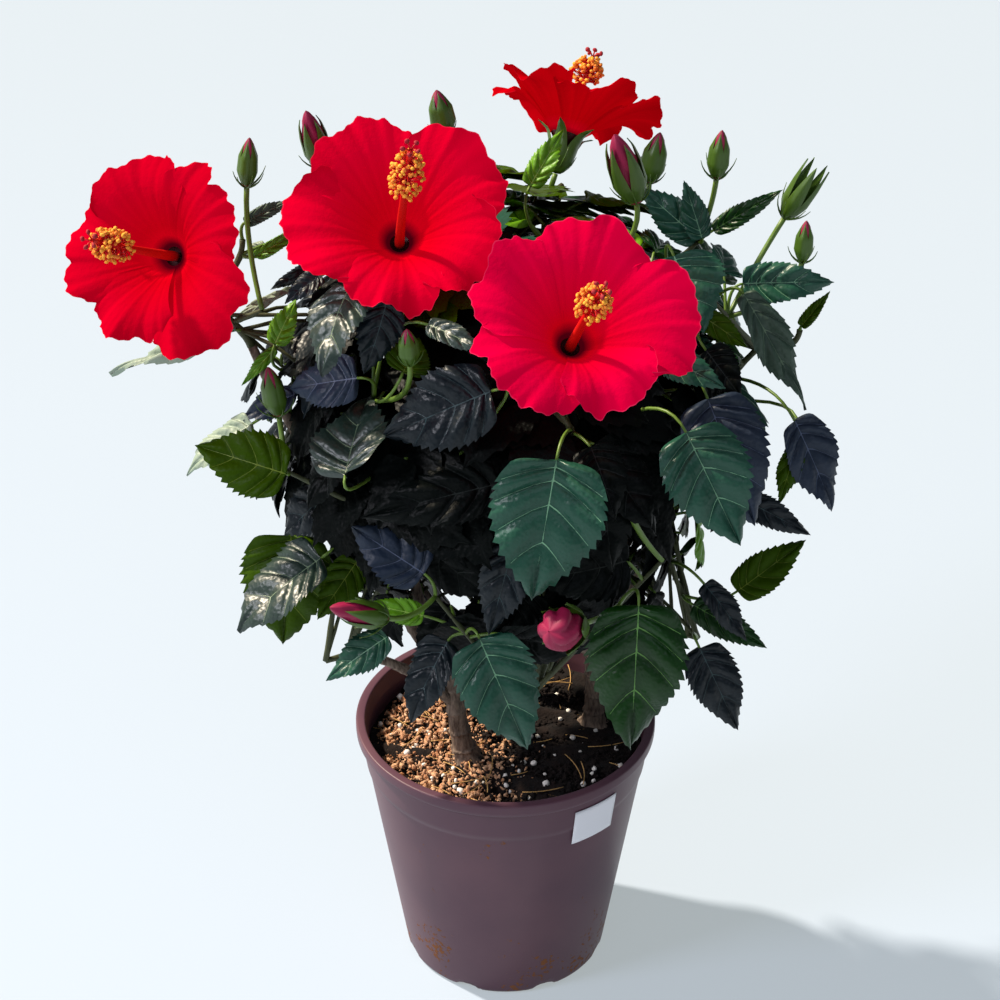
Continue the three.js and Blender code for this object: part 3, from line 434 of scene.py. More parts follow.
# Open flowers: mass, throat, heading, lift, radius, roll.
blooms = [
    ("outer_left", (-190, -27, 522), -120, 28, 56, 10),
    ("top_left", (-60, -35, 535), -84, 53, 61, 4),
    ("front", (35, -113, 511), -69, 54, 60, 26),
    ("top_back", (36, 72, 552), 66, 47, 50, 20),
]
bloomFoot = -24
# Buds: mass, foot, length, heading, lift, radius, share of the length that the sepals cover, form.
buds = [
    ("outer_left", (-148, 0, 553), 30, 0, 84, 6, 1.0, "closed"),
    ("top_left", (-105, 10, 560), 38, -150, 76, 8, 0.86, "parted"),
    ("top_left", (-35, 31, 571), 28, 180, 80, 7.5, 1.0, "closed"),
    ("top_right", (74, -4, 545), 46, -160, 72, 10, 0.88, "parted"),
    ("top_right", (84, 42, 536), 32, 0, 80, 7.5, 1.0, "closed"),
    ("top_right", (122, 26, 546), 30, 0, 86, 6.5, 1.0, "closed"),
    ("right", (163, 24, 522), 38, 0, 62, 8, 1.0, "spread"),
    ("right", (171, -6, 508), 26, 0, 88, 5.5, 1.0, "closed"),
    ("front_left", (-53, -100, 492), 22, 180, 86, 6, 1.0, "closed"),
    ("front_left", (-131, -58, 436), 34, -134, 80, 7, 1.0, "closed"),
    ("low_front", (-68, -132, 345), 38, -156, 26, 8, 0.8, "parted"),
    ("low_front", (40, -155, 356), 28, -129, 20, 10.2, 0.62, "round"),
]


# v over its own length.
def unit(v):
    return v / np.linalg.norm(v)


# The first of a pair plus t times the way to the second.
def mix(pair, t):
    return pair[0] + (pair[1] - pair[0]) * t


# A unit vector by its heading and its lift above the level.
def toward(head, lift):
    h, e = np.radians(head), np.radians(lift)
    return np.array([np.cos(h) * np.cos(e), np.sin(h) * np.cos(e), np.sin(e)])


# The part of v square to n, as a unit vector.
def squared(v, n):
    return unit(v - n * (v @ n))


# A seeded run of numbers from 0 to 1: state times a constant plus a constant, in 32 bits.
def dice(seed):
    state = seed % 2**32
    while True:
        state = (state * 1664525 + 1013904223) % 2**32
        yield state / 2**32


# Points of the quadratic curve that leaves a and reaches b, drawn toward m.
def curve(a, m, b, steps):
    t = np.linspace(0, 1, steps + 1)[:, None]
    return (1 - t) ** 2 * a + 2 * t * (1 - t) * m + t**2 * b


# The sum of the steps between a line's points.
def lineLength(line):
    return np.linalg.norm(np.diff(line, axis=0), axis=1).sum()


# The points at shares of a line's length.
def along(line, shares):
    run = np.concatenate([[0], np.cumsum(np.linalg.norm(np.diff(line, axis=0), axis=1))])
    return np.stack([np.interp(np.asarray(shares) * run[-1], run, line[:, k]) for k in range(3)], -1)


# The point at one share, and the way the line runs there.
def onLine(line, share):
    run = np.cumsum(np.linalg.norm(np.diff(line, axis=0), axis=1))
    k = min(np.searchsorted(run, share * run[-1]), len(run) - 1)
    return along(line, [share])[0], unit(line[k + 1] - line[k])


# Points along a line, evenly, no further apart than one bead.
def beads(line):
    count = int(np.ceil(lineLength(line) / clearance["beads"]))
    return along(line, np.linspace(0, 1, count + 1))


# Whether any of the points is nearer to any other than the reach, by squares of distances.
def nearer(points, others, reach):
    far = ((points[:, None] - others[None]) ** 2).sum(2)
    return far.min() < reach * reach


# A stem's line: a quadratic curve from foot to fork, bowed sideways by its bend.
def stemLine(s, t):
    foot, top = np.array([*s["foot"], soil["top"] + gap]), np.array(s["top"], float)
    middle = (foot + top) / 2 + np.array([s["bend"], s["bend"] / 2, 0])
    t = np.asarray(t, float)[:, None]
    return (1 - t) ** 2 * foot + 2 * t * (1 - t) * middle + t**2 * top


# A bough's line: out of the stem, out and up, to where its mass begins.
def boughLine(own, steps):
    _, stem, leave, share, seed = masses[own]
    start = stemLine(stems[stem], [leave])[0]
    end = start + (np.array(seed) - start) * share
    span = np.linalg.norm(end - start)
    outward = unit((end - start) * [1, 1, 0])
    middle = start + outward * bough["out"] * span + up * bough["rise"] * span
    return curve(start, middle, end, steps)


# How far out p is: the length of its way from the crown's centre over the half sizes, 1 at the edge.
def inCrown(p):
    return np.linalg.norm((p - crown["centre"]) / crown["half"], axis=-1)


# How far p lies inside a seed's space: the distance to the nearest wall half-way to another seed.
def depthIn(p, own):
    walls = np.delete(seeds, own, 0) - seeds[own]
    middles = (np.delete(seeds, own, 0) + seeds[own]) / 2
    size = np.linalg.norm(walls, axis=1)
    return ((middles * walls).sum(1) / size - p @ (walls / size[:, None]).T).min(-1)


limbLines = [(None, beads(stemLine(s, np.linspace(0, 1, bough["rings"] + 1)))) for s in stems.values()]
limbLines += [(own, beads(boughLine(own, bough["rings"]))) for own in range(len(masses))]


# Tips of a mass's shoots: a golden spiral round its seed, drawn in to the crown.
def shootTips(own, rule):
    k = np.arange(rule["count"])
    sine = mix((rule["lowest"], 1), (k + 0.5) / rule["count"])
    ways = np.array([toward(goldenTurn * (j + own), np.degrees(np.arcsin(s))) for j, s in zip(k, sine)])
    tips = seeds[own] + ways * rule["spread"]
    tips = tips + (crown["centre"] - seeds[own]) * rule["inward"]
    pull = np.minimum(1, rule["reach"] / inCrown(tips))[:, None]
    return crown["centre"] + (tips - crown["centre"]) * pull


# A shoot from its foot to its tip, arched where the space has room for it.
def shootLine(foot, tip, own):
    middle = (foot + tip) / 2 + up * shoot["rise"] * np.linalg.norm(tip - foot)
    if -clearance["overhang"] < depthIn(middle, own) < clearance["space"]:
        middle = (foot + tip) / 2
    return curve(foot, middle, tip, shoot["rings"])


# A mass's own stem, which goes on from the bough, and the shoots on it.
def skeleton(own, rule):
    end, way = onLine(boughLine(own, bough["rings"]), 1)
    start = end + way * gap
    top = seeds[own] - up * shoot["below"]
    core = curve(start, start + way * shoot["bend"] * np.linalg.norm(top - start), top, 2 * shoot["rings"])
    feet = core[2:]
    twigs = [{"points": core, "radii": shoot["coreRadii"]}]
    for k, tip in enumerate(shootTips(own, rule)):
        if depthIn(tip, own) < rule["deep"]:
            continue
        for j in range(len(feet)):
            if np.linalg.norm(feet[(k + j) % len(feet)] - tip) > rule["longest"]:
                continue
            points = shootLine(feet[(k + j) % len(feet)], tip, own)
            grains = beads(points)
            if all(o == own or not nearer(grains, line, clearance["twigToLimb"]) for o, line in limbLines):
                twigs.append({"points": points, "radii": rule["radii"]})
                break
    for mass, tip in spurs if rule is shoot else ():
        if massNames[own] == mass:
            foot = feet[np.argmin(np.linalg.norm(feet - tip, axis=1))]
            points = curve(foot, (foot + tip) / 2, np.array(tip, float), shoot["rings"])
            twigs.append({"points": points, "radii": shoot["radii"]})
    return twigs


# A blade: base, the way it runs, its side and upper face, length and breadth.
def bladeOf(base, runs, face, long, broad):
    normal = squared(face, runs)
    side = np.cross(normal, runs)
    return {"base": base, "runs": runs, "side": side, "normal": normal, "long": long, "broad": broad}


# Half width of a blade along its length, from its round foot to its drawn-out tip.
def bladeWidth(share):
    return np.minimum(1, 1.63 * np.sqrt(share) * (1 - share**1.9) ** 0.95)


# Points of a plain blade by share of length and of half width: drooping with the square of the
# length, folded up along the rib.
def onBlade(blade, shares, across, lift=0.0):
    shares, across = np.asarray(shares, float), np.asarray(across, float)
    width = across * blade["long"] * blade["broad"] / 2 * bladeWidth(shares)
    sag = leaf["fold"] * np.abs(width) - leaf["droop"] * blade["long"] * shares**2 + lift
    out = blade["runs"] * (blade["long"] * shares)[..., None] + blade["side"] * width[..., None]
    return blade["base"] + out + blade["normal"] * sag[..., None]


testRows, testColumns = np.meshgrid([0.05, 0.23, 0.41, 0.59, 0.77, 0.95], [-0.9, -0.45, 0, 0.45, 0.9])
cornerRows, cornerColumns = [0, 1, 0.24, 0.24, 0.66, 0.66], [0, 0, 1, -1, 1, -1]


# The points that stand for a blade when room is measured: six along by five across.
def bladeTests(blade):
    return onBlade(blade, testRows.ravel(), testColumns.ravel())


# A stalk from the nearest point of the skeleton, where a climb down counts dear, to p.
def stalkTo(twigs, p, arriving):
    points = np.concatenate([t["points"][1:] for t in twigs])
    far = np.linalg.norm(points - p, axis=1) + shoot["climb"] * np.maximum(0, points[:, 2] - p[2])
    start = points[np.argmin(far)]
    return curve(start, p - arriving * shoot["arrive"] * np.linalg.norm(start - p), p, stalkSteps)


# What stands already: groups of points with their owner and the room they want near and far.
class Kept:
    def __init__(self):
        self.rows = []
        self.middles = np.zeros((0, 3))
        self.sizes = np.zeros(0)

    # A group is kept with its middle and its farthest point's distance from there.
    def add(self, own, points, near, far):
        middle = points.mean(0)
        size = np.linalg.norm(points - middle, axis=1).max()
        self.rows.append((own, points, near, far))
        self.middles = np.vstack([self.middles, middle])
        self.sizes = np.append(self.sizes, size)

    # Only groups whose ball comes within the room of the points' ball are measured point by point.
    def clears(self, points, middle, reach, own, ease):
        room = np.array([near if o == own else far for o, _, near, far in self.rows]) * ease
        close = np.linalg.norm(self.middles - middle, axis=1) <= self.sizes + room + reach
        chosen = np.flatnonzero(close & (room > 0))
        return not any(nearer(points, self.rows[k][1], room[k]) for k in chosen)


# A leaf stands in its mass's space, inside the crown, and clear of all that is kept.
def leafFits(blade, own, rule, room):
    middle = onBlade(blade, 0.5, 0)
    if depthIn(middle, own) < room["space"]:
        return False
    corners = onBlade(blade, cornerRows, cornerColumns)
    if (depthIn(corners, own) < -room["overhang"]).any() or (inCrown(corners) > rule["reach"]).any():
        return False
    return kept.clears(bladeTests(blade), middle, 0.6 * blade["long"], own, room["ease"])


# A leaf at a node: the stalk goes out by its turn, the blade hangs down and outward.
def ruleBlade(node, way, turn, drawn, young, rule):
    outward = unit(node - crown["centre"])
    stalkWay = squared(toward(turn, 0), way) * rule["stalkAway"] + outward * rule["stalkOut"]
    stalkWay = unit(stalkWay + up * rule["stalkUp"])
    base = node + stalkWay * mix(rule["petiole"], drawn[3]) * young
    face = unit(outward * rule["faceOut"] + up * mix(rule["faceUp"], drawn[4]))
    runs = squared(stalkWay - up * rule["hang"], face)
    return bladeOf(base, runs, face, mix(rule["long"], drawn[1]) * young, mix(rule["broad"], drawn[2]))


# Leaves of one twig from its tip down, turned by the golden angle, young ones small. One that
# doesn't fit is turned on and made smaller, and at last skipped.
def growLeaves(own, twig, roll, rule, room):
    grown = []
    span = lineLength(twig["points"])
    for k in range(rule["each"]):
        drawn = [next(roll) for _ in range(5)]
        share = 1 - (rule["first"] + rule["space"] * k) / span
        if share < rule["lowest"]:
            continue
        node, way = onLine(twig["points"], share)
        young = mix((rule["youngest"], 1), min(1, (k + 1) / rule["youngCount"]))
        for attempt in range(rule["tries"]):
            turn = goldenTurn * k + rule["scatter"] * drawn[0] + rule["tryTurn"] * attempt
            blade = ruleBlade(node, way, turn, drawn, young * rule["tryShrink"] ** attempt, rule)
            if leafFits(blade, own, rule, room):
                kept.add(own, bladeTests(blade), room["own"], room["other"])
                blade.update(own=own, youth=k, fine=rule is fineLeaf)
                middle = (node + blade["base"]) / 2 + up * rule["stalkBow"]
                grown.append((blade, curve(node, middle, blade["base"], stalkSteps)))
                break
    return grown


kept = Kept()
skeletons = [skeleton(own, shoot) for own in range(len(masses))]
leaves, stalks = [], []  # blades, and the lines of their petioles
bloomRows, budRows = [], []
for line in limbLines:
    kept.add(None, line[1], 0, clearance["limb"])
for own, twigs in enumerate(skeletons):
    for twig in twigs:
        kept.add(own, beads(twig["points"]), clearance["twig"], clearance["other"])


# A leaf with a place of its own, from its row.
def placedBlade(mass, reach, turn, z, long, head, dip, broad, face, tint):
    own = massNames.index(mass)
    base = toward(turn, 0) * reach + up * z
    blade = bladeOf(base, toward(head, -dip), toward(*faceWays[face]), long, broad)
    blade.update(own=own, youth=leaf["youngCount"], fine=False, tint=tint)
    return own, blade


# A stalk from a mass's twigs to p, with room kept round it.
def keptStalk(own, p, arriving):
    line = stalkTo(skeletons[own], p, arriving)
    kept.add(own, beads(line), clearance["twig"], clearance["other"])
    return line


for row in placedLeaves:
    own, blade = placedBlade(*row)
    stalks.append(keptStalk(own, blade["base"], blade["runs"]))
    kept.add(own, bladeTests(blade), clearance["own"], clearance["other"])
    guard = clearance["guard"] * blade["long"]
    kept.add(own, onBlade(blade, [0.5], [0], clearance["guardOut"]), guard, guard)
    leaves.append(blade)
for mass, at, head, lift, radius, roll in blooms:
    own, at, facing = massNames.index(mass), np.array(at, float), toward(head, lift)
    line = keptStalk(own, at + facing * bloomFoot, facing)
    kept.add(own, (at + facing * radius / 2)[None], clearance["bloom"], clearance["bloom"])
    row = {"mass": mass, "at": at, "facing": facing, "radius": radius, "roll": roll, "line": line}
    bloomRows.append(row)
for mass, at, long, head, lift, radius, cover, form in buds:
    own, at, facing = massNames.index(mass), np.array(at, float), toward(head, lift)
    line = keptStalk(own, at, facing)
    kept.add(own, (at + facing * long / 2)[None], long / 2, long / 2)
    row = {"at": at, "facing": facing, "long": long, "radius": radius, "cover": cover, "form": form}
    budRows.append({**row, "line": line})
for own, twigs in enumerate(skeletons):
    roll = dice(leaf["seed"] * (own + 1))
    for twig in twigs:
        for blade, line in growLeaves(own, twig, roll, leaf, clearance):
            leaves.append(blade)
            stalks.append(line)
print("leaves of the rule:", len(leaves))
fineTwigs = []
for mass, tip in bareStems:
    line = stalkTo(skeletons[massNames.index(mass)], np.array(tip, float), up)
    kept.add(None, beads(line), fineRoom["own"], fineRoom["other"])
    fineTwigs.append({"points": line, "radii": bareRadii, "mass": mass})
for row in smallLeaves:
    own, blade = placedBlade(*row)
    kept.add(own, bladeTests(blade), fineRoom["own"], fineRoom["other"])
    leaves.append(blade)
    bare = [twig for twig in fineTwigs if twig["mass"] == row[0]]
    stalks.append(stalkTo(skeletons[own] + bare, blade["base"], blade["runs"]))
for own in range(len(masses)):
    roll = dice(fineLeaf["seed"] * (own + 1))
    for twig in skeleton(own, fineShoot)[1:] + skeleton(own, innerShoot)[1:]:
        grown = growLeaves(own, twig, roll, fineLeaf, fineRoom)
        fineTwigs += [twig] if grown else []
        for blade, line in grown:
            leaves.append(blade)
            stalks.append(line)
print("with the finer ones:", len(leaves))

# ---- leaves ----

leafLook = {
    "veins": (0, 0.36, 0.53, 0.69, 0.84, 1),  # rows where side veins run
    "between": 8,  # rows from one vein to the next
    "fineBetween": 3,
    "lobe": 0.05,  # of the length, that the shoulders reach behind the stalk
    "flat": 0.4,  # of the swelling and waves, left on the finer leaves
    "columns": (-1, -0.88, -0.62, -0.3, 0, 0.3, 0.62, 0.88, 1),
    "fineColumns": (-1, -0.55, 0, 0.55, 1),
    "teeth": (-0.75, 0.1, 1.0),  # heights of the rows in turn, root to point of a tooth
    "fineTeeth": (-0.75, 1.0),
    "tooth": 0.085,  # of the half width
    "toothLean": 0.8,  # of a row's length, toward the tip
    "quilt": 0.06,  # of the length, that the blade swells between veins
    "ruffle": 0.05,  # of the length, at the edge
    "heave": 0.042,  # of the length, slow waves over the whole blade
    "crease": (0.3, 2.6),  # of the plain blade's fold
    "curl": (0.7, 1.5),  # of the plain blade's droop
    "rib": (0.85, 0.25),  # half widths in millimetres, foot and tip
    "vein": (0.42, 0.14),
    "lift": 0.16,  # of the veins, over the blade
    "veinRows": (14, 6),  # of a rib and a side vein
    "veinAt": 75,  # length of the leaf that has veins of these widths
    "cell": 2.6,  # millimetres, the cells between the finest veins
}


# Half width of a grown blade: square shoulders, then a long draw to the point.
def outline(share):
    return np.minimum(1, 1.7 * share**0.38 * (1 - share**1.5) ** 1.15)


# Points of n blades over rows u and columns c. The edge runs by u to the power 1.6 and the rib lags
# behind it, so that rows follow the side veins; heights add droop, fold, swelling between the veins
# and a wave along the edge.
def bladeGrid(blades, u, c, toothed=False, lift=0.0):
    field = lambda key: np.array([b[key] for b in blades], float)
    long, broad = field("long")[:, None, None], field("broad")[:, None, None]
    curl, phase = field("curl")[:, None, None], field("phase")[:, None, None]
    u, c = np.broadcast_arrays(np.asarray(u, float)[:, None], np.asarray(c, float)[None])
    edge = u**1.6
    rib = 0.06 * u + 0.94 * u**3.4
    share = rib + (edge - rib) * np.abs(c) ** 1.3
    share = share - leafLook["lobe"] * np.sin(np.pi * np.clip(edge / 0.2, 0, 1)) * c**2
    width = c * outline(edge)
    if toothed:
        rows = len(u)
        fade = np.clip((u - 0.2) / 0.12, 0, 1) * np.clip((1 - u) / 0.05, 0, 1) * (np.abs(c) > 0.99)
        uneven = 0.65 + 0.35 * np.sin(1.9 * np.arange(rows)[:, None] + 7 * phase)
        steps = leafLook["fineTeeth" if blades[0]["fine"] else "teeth"]
        out = np.resize(steps, rows)[:, None] * fade * uneven
        width = width * (1 + leafLook["tooth"] * out)
        share = share + out * leafLook["toothLean"] / rows
    cell = np.interp(u, leafLook["veins"], np.arange(len(leafLook["veins"])))
    swell = np.abs(np.sin(np.pi * cell)) ** 0.7 * (1 - np.exp(-7 * np.abs(c))) * (1 - np.abs(c) ** 6)
    half = long * broad / 2
    y = half * width
    flat = np.where(field("fine"), leafLook["flat"], 1.0)[:, None, None]
    wave = np.sin(9 * edge + phase + 2.1 * np.sign(c)) * np.abs(c) ** 3 * np.minimum(1, 6 * (1 - edge))
    heave = np.sin(5 * share + 1.7 * phase) * (0.6 + c * np.cos(2 * phase)) * share
    h = leaf["fold"] * field("crease")[:, None, None] * np.abs(y) - leaf["droop"] * long * curl * share**2
    h = h + long * flat * (leafLook["quilt"] * swell + leafLook["ruffle"] * wave)
    h = h + long * leafLook["heave"] * heave + lift
    put = lambda key, amount: field(key)[:, None, None] * amount[..., None]
    return field("base")[:, None, None] + put("runs", long * share) + put("side", y) + put("normal", h)


for blade in leaves:
    blade["curl"] = rng.uniform(*leafLook["curl"])
    blade["phase"] = rng.uniform(0, 6.28)
    blade["crease"] = rng.uniform(*leafLook["crease"])

# The tints: sRGB colour, roughness, specular level, and the colour of the veins on them. Most carry painted
# light:
# the leaf's own dark green changed by how light falls on it.
leafTints = {
    # shade and night: painted shade, near black and blue-black, for leaves in the crown's shadow
    "shade": ("060a09", 0.42, 0.08, "111915"),
    "night": ("0e171d", 0.36, 0.28, "34474a"),
    "gloss": ("1c2e27", 0.4, 0.7, "66785f"),
    # slate: painted sky reflection, blue-grey over the dark glossy blade
    "slate": ("212c3d", 0.46, 0.3, "566078"),
    "sage": ("3c4f42", 0.42, 0.3, "6d8068"),
    # silver: painted highlight, the pale sky's reflection laid over the whole blade
    "silver": ("8a9a88", 0.45, 0.3, "b4c0ac"),
    # teal: painted skylight, bluer than the leaf's own green
    "teal": ("1f4a3a", 0.36, 0.35, "76a582"),
    "green": ("0c3408", 0.36, 0.3, "66954c"),
    # bright and olive: the lighter green of young leaves, and also painted backlight on some placed leaves
    "bright": ("5a8c12", 0.42, 0.35, "a6c65c"),
    "olive": ("2f4700", 0.45, 0.08, "66771c"),
}

dealing = {
    "spread": 0.12,  # of the crown's half size, by which chance moves a leaf out or in
    "fineIn": 0.12,  # of it, by which the finer leaves count as further in
    "roof": 500, "roofOut": 0.6,  # above this height and out from here, tints at random
    "shadeIn": 0.72,  # nearer the middle than this, and in the heart behind the front leaves, the tint is painted shade
    "heart": (110, -30, 480),  # millimetres: half width, front wall, top
    "young": 0.5, "youngBright": 0.6,  # chances
    # night, toRight, mixed and teal: how far out and to the right a leaf must stand to leave the night tint,
    # painted shade, and then the teal, painted skylight
    "night": 0.86, "toRight": 0.0012, "mixed": 0.2, "teal": 0.15,
}


# Deals a tint by place, painting light and shade into the leaves: any lighter tint on the roof, where the
# light falls;
# painted shade, near black, inside and behind the large front leaves; teal and green out on the right; young
# leaves bright.
def dealTint(blade):
    if "tint" in blade:
        return blade["tint"]
    middle = onBlade(blade, 0.5, 0)
    x, y, z = middle
    out = inCrown(middle) + rng.uniform(-dealing["spread"], dealing["spread"])
    out = out - (dealing["fineIn"] if blade["fine"] else 0)
    if z > dealing["roof"] and out > dealing["roofOut"]:
        return ("bright", "olive", "teal", "green")[int(rng.uniform(0, 3.99))]
    wide, wall, top = dealing["heart"]
    if out < dealing["shadeIn"] or (abs(x) < wide and y < wall and z < top):
        return "shade"
    if blade["youth"] == 0 and rng.uniform() < dealing["young"]:
        return "bright" if rng.uniform() < dealing["youngBright"] else "olive"
    mixed = rng.uniform(-dealing["mixed"], dealing["mixed"])
    # how sunny a leaf's place is: below naught the night tint, painted shade, then teal, painted skylight,
    # then green
    sunny = out - dealing["night"] + dealing["toRight"] * x + mixed
    return "night" if sunny < 0 else ("teal" if sunny < dealing["teal"] else "green")


for blade in leaves:
    blade["tint"] = dealTint(blade)


# Hibiscus leaf: a waxed cuticle over a quilted blade, so clear small highlights broken by fine cells.
def leafMaterial(tint):
    code, rough, gloss, _ = leafTints[tint]
    material, tree, shader = newMaterial(
        "waxed_leaf_" + tint, Base_Color=linear(code), Roughness=rough, IOR=1.45,
        Specular_IOR_Level=gloss,
    )
    place = addNode(tree, "ShaderNodeTexCoord")
    cells = addNode(
        tree, "ShaderNodeTexVoronoi", {"Vector": (place, "Object")}, {"feature": "SMOOTH_F1"},
        Scale=1000 / leafLook["cell"], Smoothness=0.6,
    )
    addBump(tree, shader, (cells, "Distance"), 0.4, 0.9)
    return material


# Leaf veins and stalks: pale waxy green, smoother than the blade. The veins follow their blade's tint, so
# they are painted dark as painted shade on the shade and night leaves.
def veinMaterial(tint):
    pale = linear(leafTints[tint][3])
    return newMaterial("vein_" + tint, Base_Color=pale, Roughness=0.45, IOR=1.45, Specular_IOR_Level=0.3)[0]


# Rib and side veins as narrow strips that lie on the blades: each strip's edges are the blade's own
# points, moved half a width to either side.
def veinStrips(blades):
    parts = []
    side = np.array([b["side"] for b in blades])[:, None]
    runs = np.array([b["runs"] for b in blades])[:, None]
    size = np.array([b["long"] for b in blades])[:, None, None] / leafLook["veinAt"]
    u = np.linspace(0.0, 0.97, leafLook["veinRows"][0])
    centre = bladeGrid(blades, u, [0], lift=leafLook["lift"])[:, :, 0]
    half = mix(leafLook["rib"], u)[None, :, None] * size
    parts.append(np.stack([centre + side * half, centre - side * half], 2))
    for row in leafLook["veins"][1:-1]:
        for sign in (1, -1):
            c = np.linspace(0, 0.93, leafLook["veinRows"][1]) * sign
            centre = bladeGrid(blades, [row], c, lift=leafLook["lift"])[:, 0]
            half = mix(leafLook["vein"], np.abs(c))[None, :, None] * size * sign
            parts.append(np.stack([centre - runs * half, centre + runs * half], 2))
    return [{"points": p, "faces": gridFaces(*p.shape[:3])} for p in parts]


# Shares of a blade's rows: so many from each side vein to the next, and the tip.
def rowsOf(between):
    veins = leafLook["veins"]
    return np.concatenate([np.linspace(a, b, between + 1)[:-1] for a, b in zip(veins, veins[1:])] + [[1.0]])


foliage = [name for name in nodeNames if name.startswith("foliage_")]
for tint in leafTints:
    parts = []
    for fine in (False, True):
        some = [b for b in leaves if b["tint"] == tint and b["fine"] == fine]
        if some:
            u = rowsOf(leafLook["fineBetween" if fine else "between"])
            c = leafLook["fineColumns" if fine else "columns"]
            points = bladeGrid(some, u, c, toothed=True)
            parts.append({"points": points, "faces": gridFaces(len(some), len(u), len(c))})
    buildPiece("leaves_" + tint, parts, [leafMaterial(tint)], foliage)
    near = [b for b in leaves if b["tint"] == tint and not b["fine"]]
    buildPiece("veins_" + tint, veinStrips(near), [veinMaterial(tint)])
print("leaves dressed")

# ---- twigs and stalks ----

twigLook = {
    "petiole": (1.15, 0.85), "petioleSides": 6, "stalk": (1.5, 1.7), "sides": 7, "rows": 13,
    "green": "5d7a2c", "shoot": "3f4426", "pore": 1.5, "knot": 0.12, "knotEvery": 3,
    # the stub of a flower stalk that was cut off, above the node of the low front bud
    "stub": ((89, -112, 371), (74, -118, 392), (68, -124, 414)), "stubRadii": (1.5, 1.9), "stubSides": 9,
}
petioleMaterial = newMaterial(
    "green_stalk", Base_Color=linear(twigLook["green"]), Roughness=0.42, IOR=1.45
)[0]
# Young shoot skin, green turning to bark: satin, with small raised pores.
shootMaterial, shootTree, shootShader = newMaterial(
    "young_shoot", Base_Color=linear(twigLook["shoot"]), Roughness=0.6, IOR=1.45
)
addBump(shootTree, shootShader, (addNoise(shootTree, twigLook["pore"], Detail=2.0), "Fac"), 0.5, 0.5)

steps = np.linspace(0, 1, stalkSteps + 1)
petioles = [tubes(stalks, mix(twigLook["petiole"], steps), twigLook["petioleSides"])]
stub = curve(*np.array(twigLook["stub"]), stalkSteps)
petioles.append(tubes([stub], mix(twigLook["stubRadii"], steps), twigLook["stubSides"]))
flowerStalks = [along(row["line"], steps) for row in bloomRows + budRows]
petioles.append(tubes(flowerStalks, mix(twigLook["stalk"], steps), twigLook["sides"]))
buildPiece("leaf_stalks", petioles, [petioleMaterial])
twigParts = []
steps = np.linspace(0, 1, twigLook["rows"])
knots = 1 + twigLook["knot"] * (np.arange(twigLook["rows"]) % twigLook["knotEvery"] == 0)
for twig in [t for twigs in skeletons for t in twigs] + fineTwigs:
    path = along(twig["points"], steps)
    twigParts.append(tubes([path], mix(twig["radii"], steps) * knots, twigLook["sides"]))
buildPiece("twigs", twigParts, [shootMaterial])
print("twigs and stalks dressed")

# ---- bark ----

barkLook = {
    "flare": 1.75, "flareHeight": 6, "sunk": 6, "rows": 90, "sides": 18, "boughRows": 48, "boughSides": 12,
    "ridge": 0.07, "scar": 0.16, "scarEvery": 17.0, "dark": "4a3a30", "pale": "8d7a6b", "grain": 2.2,
}


# Young hibiscus bark: matt grey-brown cork with fine upright cracks and pale pores.
def barkMaterial():
    material, tree, shader = newMaterial("cracked_bark", Roughness=0.82, IOR=1.5)
    place = addNode(tree, "ShaderNodeTexCoord")
    stretch = addNode(tree, "ShaderNodeMapping", {"Vector": (place, "Object")}, Scale=(1, 1, 0.25))
    grain = addNode(
        tree, "ShaderNodeTexNoise", {"Vector": (stretch, "Vector")},
        Scale=1000 / barkLook["grain"], Detail=5.0, Roughness=0.65,
    )
    ramp = addRamp(tree, grain, [(0.35, barkLook["dark"]), (0.65, barkLook["pale"])])
    addBump(tree, shader, (grain, "Fac"), 0.8, 0.8)
    feed(tree, shader, Base_Color=(ramp, "Color"))
    return material


# Relief of a limb over rows and sides: upright ridges from sines of the turn that wander along the
# length, and a ring scar every so many millimetres.
def relief(span, rows, sides, phase):
    s = np.linspace(0, span, rows)[:, None]
    a = 2 * np.pi * np.arange(sides)[None] / sides
    ridges = np.sin(5 * a + 0.05 * s + phase) * np.sin(0.13 * s + 2 * phase)
    ridges = ridges + 0.6 * np.sin(3 * a - 0.09 * s)
    scars = np.exp(-((np.sin(np.pi * s / barkLook["scarEvery"] + phase) / 0.18) ** 2))
    return (1 + barkLook["ridge"] * ridges + barkLook["scar"] * scars)[None]


barkMat = barkMaterial()
shares = np.linspace(0, 1, barkLook["rows"]) ** 1.3
stemParts = []
for k, s in enumerate(stems.values()):
    line = stemLine(s, shares)
    line[0, 2] -= barkLook["sunk"]
    rise = line[:, 2] - soil["top"] - gap
    radii = mix(s["radii"], rise / (s["top"][2] - soil["top"]))
    flare = (barkLook["flare"] - 1) * np.exp(-np.maximum(rise, 0) / barkLook["flareHeight"])
    radii = radii * (1 + flare)
    bulge = relief(lineLength(line), barkLook["rows"], barkLook["sides"], 1.7 * k)
    stemParts.append(tubes([line], radii, barkLook["sides"], bulge=bulge))
buildPiece("bark_stems", stemParts, [barkMat], list(stems))
boughParts = []
shares = np.linspace(0, 1, barkLook["boughRows"])
for own in range(len(masses)):
    line = along(boughLine(own, 16), shares)
    bulge = relief(lineLength(line), barkLook["boughRows"], barkLook["boughSides"], 0.9 * own)
    boughParts.append(tubes([line], mix(bough["radii"], shares), barkLook["boughSides"], bulge=bulge))
boughNames = [name for name in nodeNames if name.startswith("bough_")]
buildPiece("bark_boughs", boughParts, [barkMat], boughNames)
print("bark dressed")

# ---- blooms ----

